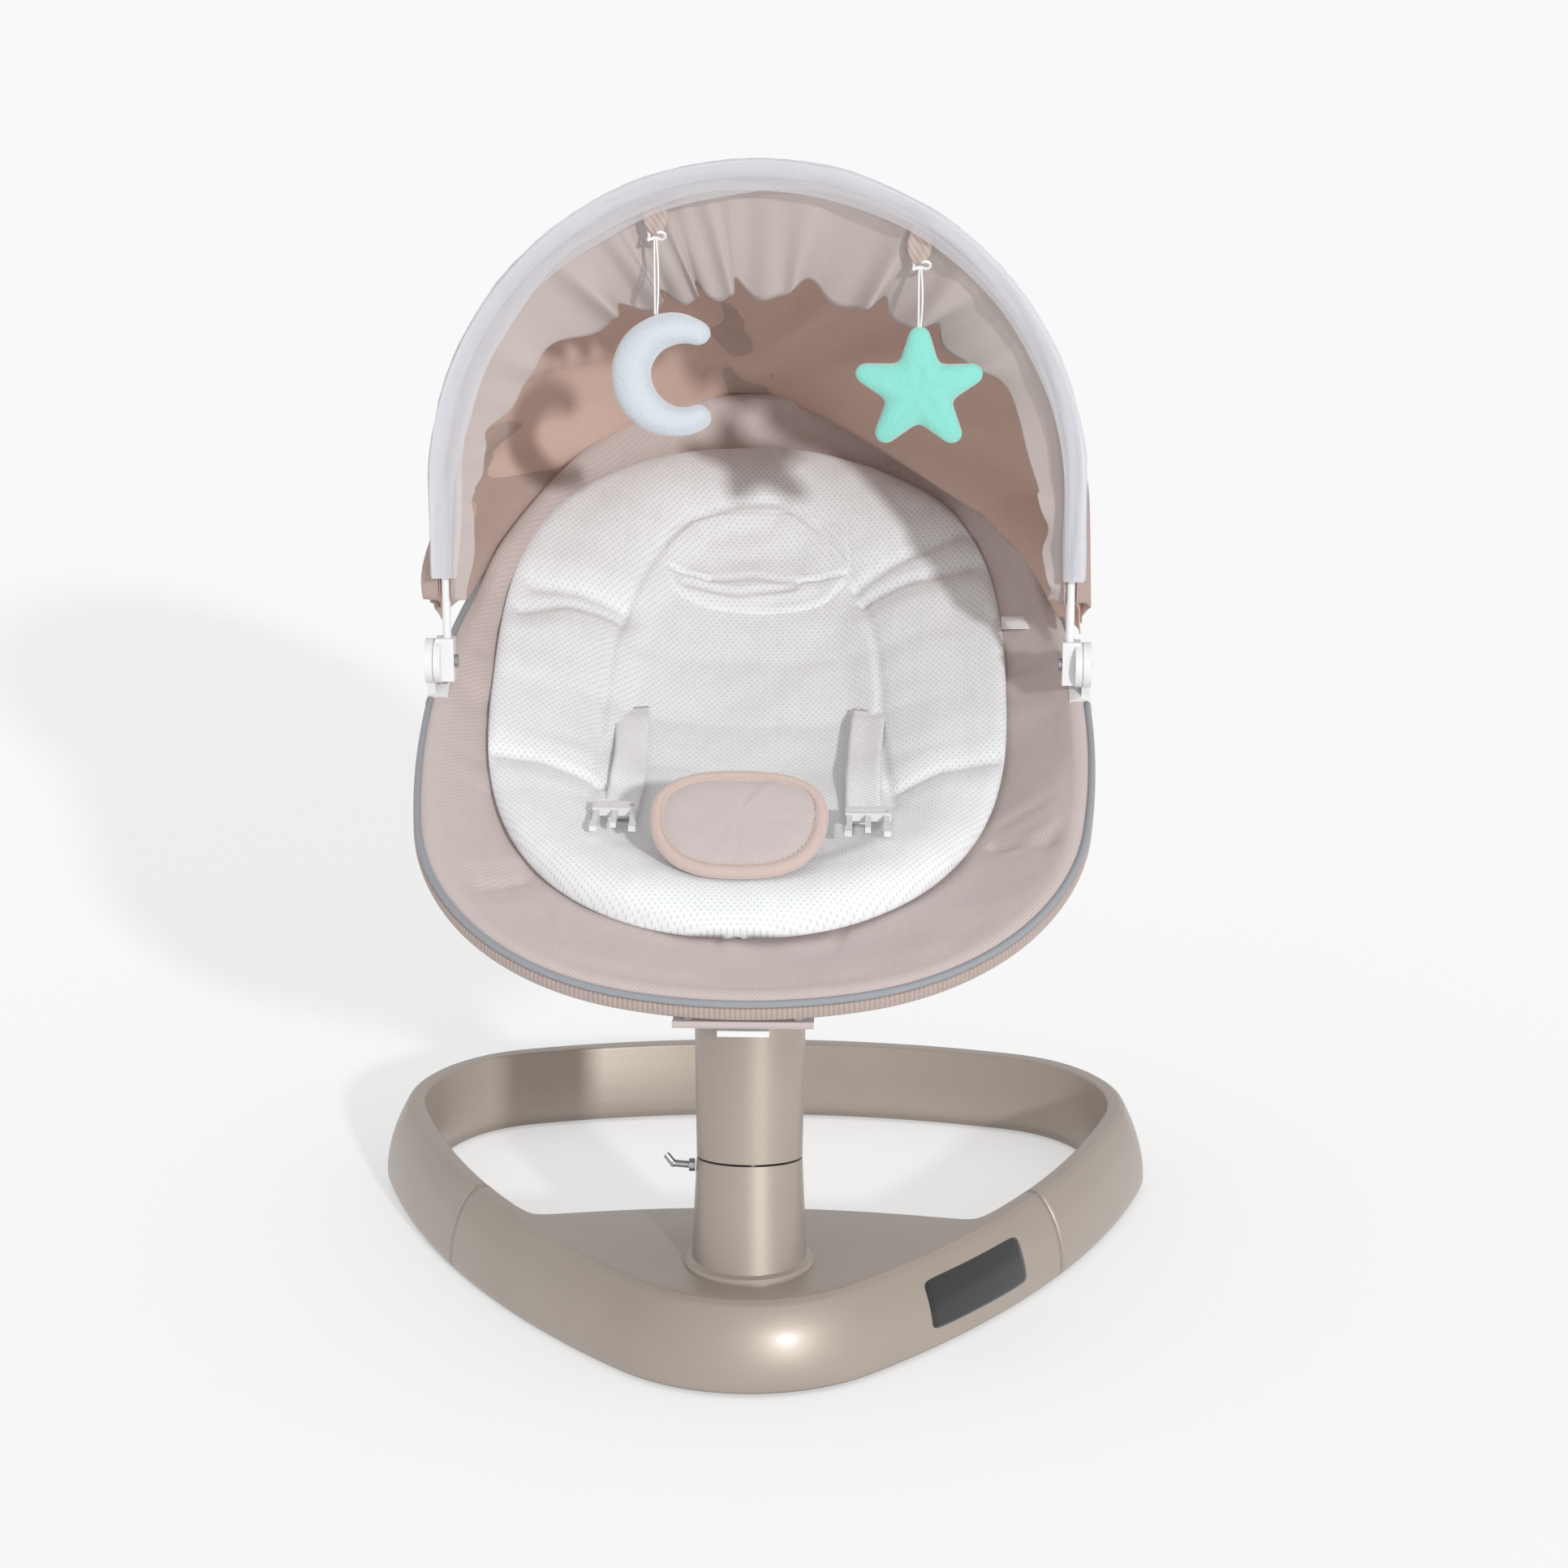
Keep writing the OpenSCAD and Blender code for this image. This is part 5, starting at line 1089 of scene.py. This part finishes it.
# The lining hangs inside the hood, in two straight sweeps from the rim's middle to its sides.
LINING_EDGE = [(224, 400), (208, 450), (190, 492), (168, 532), (134, 567), (101, 601), (62, 642), (22, 683),
               (-4, 693), (-28, 694), (-70, 670), (-113, 642), (-158, 596), (-197, 547), (-216, 496),
               (-232, 440)]


def lining_edge(t):
    e = np.array(LINING_EDGE, float)
    run = np.concatenate([[0], np.cumsum(np.linalg.norm(np.diff(e, axis=0), axis=1))])
    return [np.interp(t * run[-1], run, e[:, i]) for i in (0, 1)]


def lining_point(t, k):
    k = 0.03 + 0.97 * k
    here, rim = hood_point(t, k), hood_point(t, 1)
    x, s = lining_edge(t)
    fall = seat_point(x, s, 6)
    target = np.array([fall[0], fall[1] - HINGE[1], fall[2] - HINGE[2]])
    return here + (target - rim) * float(smooth((k - 0.45) / 0.55))


def lining_sway(t, k):
    ease = float(smooth(k / 0.2))
    n = 5.0 * ease + 2.6 * wobble(t * 600, k * 400, 3, 110, 15) * ease
    for t0, k0, lean, size, high in ((0.47, 0.80, -0.35, 0.040, 9.0), (0.545, 0.84, 0.45, 0.050, 10.0),
                                     (0.60, 0.74, 0.55, 0.040, -6.0), (0.41, 0.76, -0.5, 0.045, -6.0),
                                     (0.30, 0.70, -0.7, 0.045, 4.0), (0.70, 0.72, 0.8, 0.045, 5.0)):
        n += high * float(bump((t - t0) - lean * (k0 - k), size)) * float(bump(k - k0, 0.24))
    # the lining stays inside the hood's cloth
    return max(n, hood_sway(t, 0.03 + 0.97 * k) + 2.5 * ease)


inner_grid = hinge_grid(with_sway(lining_point, lining_sway, steps(0, 1, 150), steps(0, 1, 80)))
inner = cloth_sheet("canopy_lining", inner_grid, lining, None, 0.8, "stretched",
                    ("bow_tape", "seat_cover_cloth"))
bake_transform(inner)


# Tape sewn along the bow's inside, the gathered valance, and the rolled net on the front.
def arch_strip(name, r_at, y_at, low, material, thick, cols=7, rows=120, **more):
    g = []
    for i in range(rows + 1):
        t = i / rows
        row = []
        for j in range(cols + 1):
            v = j / cols
            p = arch_point(t, r_at(t, v), low)
            row.append([p[0], y_at(t, v), p[1]])
        g.append(row)
    return cloth_sheet(name, hinge_grid(g), material, "canopy", thick, "stretched", ("canopy_bow",), **more)


arch_strip("bow_tape", lambda t, v: BOW_R - 4.4 - 1.2 * math.sin(math.pi * v), lambda t, v: mix(-4, 13, v),
           HOOD_LOW, bow_tape, 0.9)


def valance_share(t):
    return 0.14 + 0.86 * math.sin(math.pi * t) ** 1.9


def gather(t):
    """Phase of the valance's folds, uneven as hand-gathered cloth is."""
    return 2 * math.pi * (13.5 * t + 0.42 * math.sin(9 * t + 1) + 0.30 * math.sin(21 * t))


def valance_point(t, k):
    v = 92 * valance_share(t) * k
    r = BOW_R - BOW_D / 2 - 0.3
    p = np.array(arch_point(t, r, HOOD_LOW))
    inward = np.array([0, BOW_LEG]) - p if p[1] > BOW_LEG else np.array([-p[0], 0])
    inward /= np.linalg.norm(inward)
    q = p + inward * v * (math.cos(rad(26)) if p[1] > BOW_LEG else 1)
    share = valance_share(t) ** 0.6
    big, small = math.sin(gather(t)), math.sin(2.37 * gather(t) + 2)
    pleats = big * (0.75 + 0.5 * math.sin(17 * t + 2)) + 0.35 * small * (1 - 0.5 * k)
    deep = share * (1.2 + 9.5 * k ** 1.1) * pleats
    hem = share * k ** 2.5 * (7.5 * math.sin(gather(t) + 1.1) - 2.5 * math.cos(2 * gather(t)))
    along = np.array([-inward[1], inward[0]]) * 4.5 * k * share * math.sin(gather(t) + 1.9)
    q = q + inward * hem + along
    return np.array([q[0], v * math.sin(rad(26)) + deep + 1.0, q[1]])


valance_grid = hinge_grid([[valance_point(t, k) for t in steps(0, 1, 420)] for k in steps(0, 1, 22)])
valance = cloth_sheet("gathered_valance", valance_grid, valance_cloth, "canopy", 0.9, "gathered",
                      ("bow_tape",),
                      replaces=("hood_valance",), slot="taupe_cloth")


def net_roll():
    rings = []
    for t in steps(0, 1, 260):
        deep = 9 * (0.6 + 0.4 * math.sin(math.pi * t))
        row = []
        for a in np.linspace(0, 2 * math.pi, 40, endpoint=False):
            u, v = math.cos(a), math.sin(a)
            ripple = 1 + 0.13 * wobble(t * 260, 26 * u, 26 * v, 14, 11)
            ripple += 0.05 * wobble(t * 700, 30 * u, 30 * v, 7, 14)
            p = arch_point(t, (NET_IN + NET_OUT) / 2 + 6 * u * ripple, 62)
            row.append([p[0], -(BOW_D / 2 + 0.3) - deep / 2 + deep / 2 * v * ripple, p[1]])
        rings.append(row)
    return hinge_grid(rings)


roll = tube_piece("net_roll", net_roll(), net, "canopy", replaces=("net_bundle",), slot="net_cloth")


def net_layer(name, reach, front, seed):
    """A loose layer of net over the bow's front; reach is how far in its edge comes."""
    rows = []
    for t in steps(0.005, 0.995, 260):
        edge = reach(t) * (1 + 0.22 * wobble(t * 300, 0, 0, 26, seed))
        row = []
        for v in steps(0, 1, 12):
            r = mix(NET_OUT - 1.5, NET_IN - 1 - edge, v)
            p = arch_point(t, r, 58)
            fold = 1.4 * wobble(t * 420, 60 * v, 0, 16, seed + 1) + 0.8 * math.sin(9 * v + 40 * t)
            row.append([p[0], -(BOW_D / 2 + front) + fold * math.sin(math.pi * v) + 3.5 * v, p[1]])
        rows.append(row)
    return cloth_sheet(name, hinge_grid(rows), veil, "canopy", None, "gathered", ("net_roll",))


net_layer("net_layer_wide",
          lambda t: 3 + 11 * float(bump(t - 0.60, 0.20)) + 9 * float(bump(t - 0.86, 0.2)), 9.5, 21)
net_layer("net_layer_loose",
          lambda t: 2 + 7 * float(bump(t - 0.5, 0.5)) + 8 * float(bump(t - 0.82, 0.16)), 11.5, 23)


# --- toys ---------------------------------------------------------------------------------------
def plush(name, rings, material, body, node_name, slot):
    obj = tube_piece(name, rings, material, body, replaces=(node_name,), slot=slot, subdiv=1)
    return obj


MOON_ARC, MOON_H, MOON_STRING, TOY_T = (62, 298), 86, 54, 28


def moon_rings():
    def fat(share):
        return 0.33 * MOON_H * (0.62 + 0.38 * math.sin(math.pi * share))
    a4 = mix(*MOON_ARC, 0.2)
    spot = (0.378 * MOON_H + fat(0.2) / 2) * np.array([math.cos(rad(a4)), math.sin(rad(a4))])
    pivot = toy_pivot(-70)
    rings = []
    for share in np.concatenate([[-0.055, -0.045, -0.02], np.linspace(0, 1, 34), [1.02, 1.045, 1.055]]):
        a = mix(*MOON_ARC, share)
        tip = math.sqrt(max(0.0, 1 - min(1, max(-share, share - 1, 0) / 0.057) ** 2))
        w = fat(min(1, max(0, share))) / 2 * max(0.08, tip)
        row = []
        for b in np.linspace(0, 2 * math.pi, 20, endpoint=False):
            x = 0.378 * MOON_H + w * math.cos(b)
            depth = min(TOY_T / 2 - 0.5, w * 1.12) * math.sin(b)
            q = np.array([x * math.cos(rad(a)), depth, x * math.sin(rad(a))])
            q += 0.7 * wobble(q[0], q[1], q[2], 16, 12) * np.array([math.cos(rad(a)), 0.5, math.sin(rad(a))])
            row.append([pivot[0] - spot[0] + q[0], pivot[1] + q[1], pivot[2] - MOON_STRING - spot[1] + q[2]])
        rings.append(row)
    return rings


moon = plush("moon_toy", moon_rings(), moon_plush, "moon", "toy_moon", "moon_plush")


def star_rings():
    long, squat = 91 / 1.98, 0.95
    pivot = toy_pivot(113)
    centre = pivot - [0, 0, 43 + squat * long * math.cos(rad(9))]
    corners = []
    for k in range(5):
        a = 90 + 72 * k
        for r, b in ((0.93, -9), (1.0, -3), (1.0, 3), (0.93, 9), (0.72, 18), (0.55, 36), (0.72, 54)):
            corners.append((r * long * math.cos(rad(a + b)), squat * r * long * math.sin(rad(a + b))))
    ring = catmull(np.array(corners + corners[:3]), 4)[4:4 + 4 * 35]
    rows = []
    for u in np.linspace(-1, 1, 25):
        k = math.sqrt(max(0, 1 - abs(u) ** 2.3))
        row = []
        for x, z in ring:
            r = math.hypot(x, z) / long
            puff = TOY_T / 2 * (0.98 - 0.30 * r)
            n = 0.8 * wobble(x * k, u * 14, z * k, 17, 13)
            row.append(centre + [x * k * (1 + 0.01 * n), puff * u + n * 0.6, z * k * (1 + 0.01 * n)])
        rows.append(row)
    return rows[1:-1]


star = plush("star_toy", star_rings(), star_plush, "star", "toy_star", "star_plush")


def toy_tab(name, x, lean):
    pivot = toy_pivot(x)
    rise = HINGE[2] + BOW_LEG - pivot[2] + math.sqrt((BOW_R - BOW_D / 2) ** 2 - (abs(x) + 2) ** 2)
    rows = []
    for i in range(15):
        v = i / 14
        half = mix(6.0, 8.6, math.sin(math.pi * v) ** 2) * (1 if v < 0.8 else mix(1, 0.5, (v - 0.8) / 0.2))
        rows.append([[pivot[0] + half * w + lean * v,
                      pivot[1] - 1.2 + 1.1 * math.sin(3 * w + 4 * v),
                      pivot[2] + mix(rise, 1, v)] for w in steps(-1, 1, 8)])
    tab = cloth_sheet(name, rows, bow_tape, "canopy", 1.4, "folded", ("bow_tape",))
    knot = []
    for i in range(64):
        a = 2 * math.pi * i / 63
        knot.append([pivot[0] + 5.6 * math.cos(a) * (1 + 0.25 * math.cos(3 * a)),
                     pivot[1] - 2.6 * math.sin(2 * a),
                     pivot[2] + 0.5 + 2.6 * math.sin(a) + 1.2 * math.sin(3 * a)])
    tube_piece(name + "_knot", sweep(knot, 1.15, 8), elastic, "canopy")
    return tab


moon_tab = toy_tab("moon_tab", -70, 0.6)
star_tab = toy_tab("star_tab", 113, -0.8)
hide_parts("toy_loops")


# --- finishes of the CAD pieces that are seen as they are ------------------------------------------
FINISH = {
    champagne: ("lower_column", "upper_column"),
    white_gloss: ("canopy_bow", "hinge_knuckle_left", "hinge_knuckle_right", "hinge_clip_left",
                  "hinge_clip_right", "buckle_left", "buckle_right", "recline_lever"),
    dark: ("base_front_cover", "base_rear_cover", "joint_sleeves", "dc_inlet", "speaker", "seat_yoke"),
    grey_metal: ("cover_screws", "column_screws", "spindle", "spindle_bearings", "bearing_spacer",
                 "recline_pin",
                 "hinge_screws", "lock_lever", "drive_magnet"),
    hub_grey: ("seat_hub", "bearing_housing", "magnet_arm"),
    painted: ("frame_head_tube", "frame_foot_tube", "cradle_left", "cradle_right", "foot_struts"),
    rubber: ("foot_pads",),
    copper: ("drive_coil",),
    board_green: ("control_board",),
    taupe_plain: ("cover_apron",),
    tag_cloth: ("care_tag",),
}
for material, names in FINISH.items():
    for name in names:
        for slot_ in frame["nodes"][name].material_slots:
            slot_.material = material


for name in FINISH[white_gloss]:
    if name != "canopy_bow":
        eased = frame["nodes"][name].modifiers.new("eased_edges", "BEVEL")
        eased.width, eased.segments, eased.limit_method, eased.angle_limit = 0.0007, 2, "ANGLE", rad(40)


# --- stage and light --------------------------------------------------------------------------------
FLOOR_GREY, FLOOR_GLOW = 0.56, 0.44          # a pale floor that keeps a soft shadow
FLOOR_REACH = 400                            # metres to each side
WORLD_LIGHT, WORLD_SEEN = 0.74, 248
KEY_TOWARD, KEY_STRENGTH, KEY_SPREAD = (0.118, -0.255, 0.088), 1.75, 3


def stage_material():
    m, _, s = tree("backdrop")
    s.inputs["Base Color"].default_value = (FLOOR_GREY,) * 3 + (1,)
    s.inputs["Roughness"].default_value = 0.95
    s.inputs["Specular IOR Level"].default_value = 0.0
    s.inputs["Emission Color"].default_value = (1, 1, 1, 1)
    s.inputs["Emission Strength"].default_value = FLOOR_GLOW
    return m


def floor_plane():
    mesh = bpy.data.meshes.new("floor")
    corners = [(x * FLOOR_REACH, y * FLOOR_REACH, 0) for x, y in ((-1, -1), (1, -1), (1, 1), (-1, 1))]
    mesh.from_pydata(corners, [], [(0, 1, 2, 3)])
    mesh.materials.append(stage_material())
    obj = bpy.data.objects.new("floor", mesh)
    bpy.context.scene.collection.objects.link(obj)


def sun(name, toward, strength, spread):
    """A far light: toward is the direction from the object to it."""
    data = bpy.data.lights.new(name, "SUN")
    data.energy, data.angle = strength, rad(spread)
    obj = bpy.data.objects.new(name, data)
    obj.rotation_euler = Vector(toward).to_track_quat("Z", "Y").to_euler()
    bpy.context.scene.collection.objects.link(obj)


def world():
    w = bpy.data.worlds.new("studio")
    bpy.context.scene.world = w
    w.use_nodes = True
    t = w.node_tree
    back = t.nodes["Background"]
    path = t.nodes.new("ShaderNodeLightPath")
    seen = t.nodes.new("ShaderNodeBackground")
    pick = t.nodes.new("ShaderNodeMixShader")
    seen.inputs[0].default_value = (*lin(*[WORLD_SEEN] * 3), 1)
    back.inputs[0].default_value = (1, 1, 1, 1)
    back.inputs[1].default_value = WORLD_LIGHT
    t.links.new(path.outputs["Is Camera Ray"], pick.inputs[0])
    t.links.new(back.outputs[0], pick.inputs[1])
    t.links.new(seen.outputs[0], pick.inputs[2])
    t.links.new(pick.outputs[0], t.nodes["World Output"].inputs[0])


world()
floor_plane()
sun("key", KEY_TOWARD, KEY_STRENGTH, KEY_SPREAD)

scene = bpy.context.scene
scene.view_settings.view_transform = "Standard"
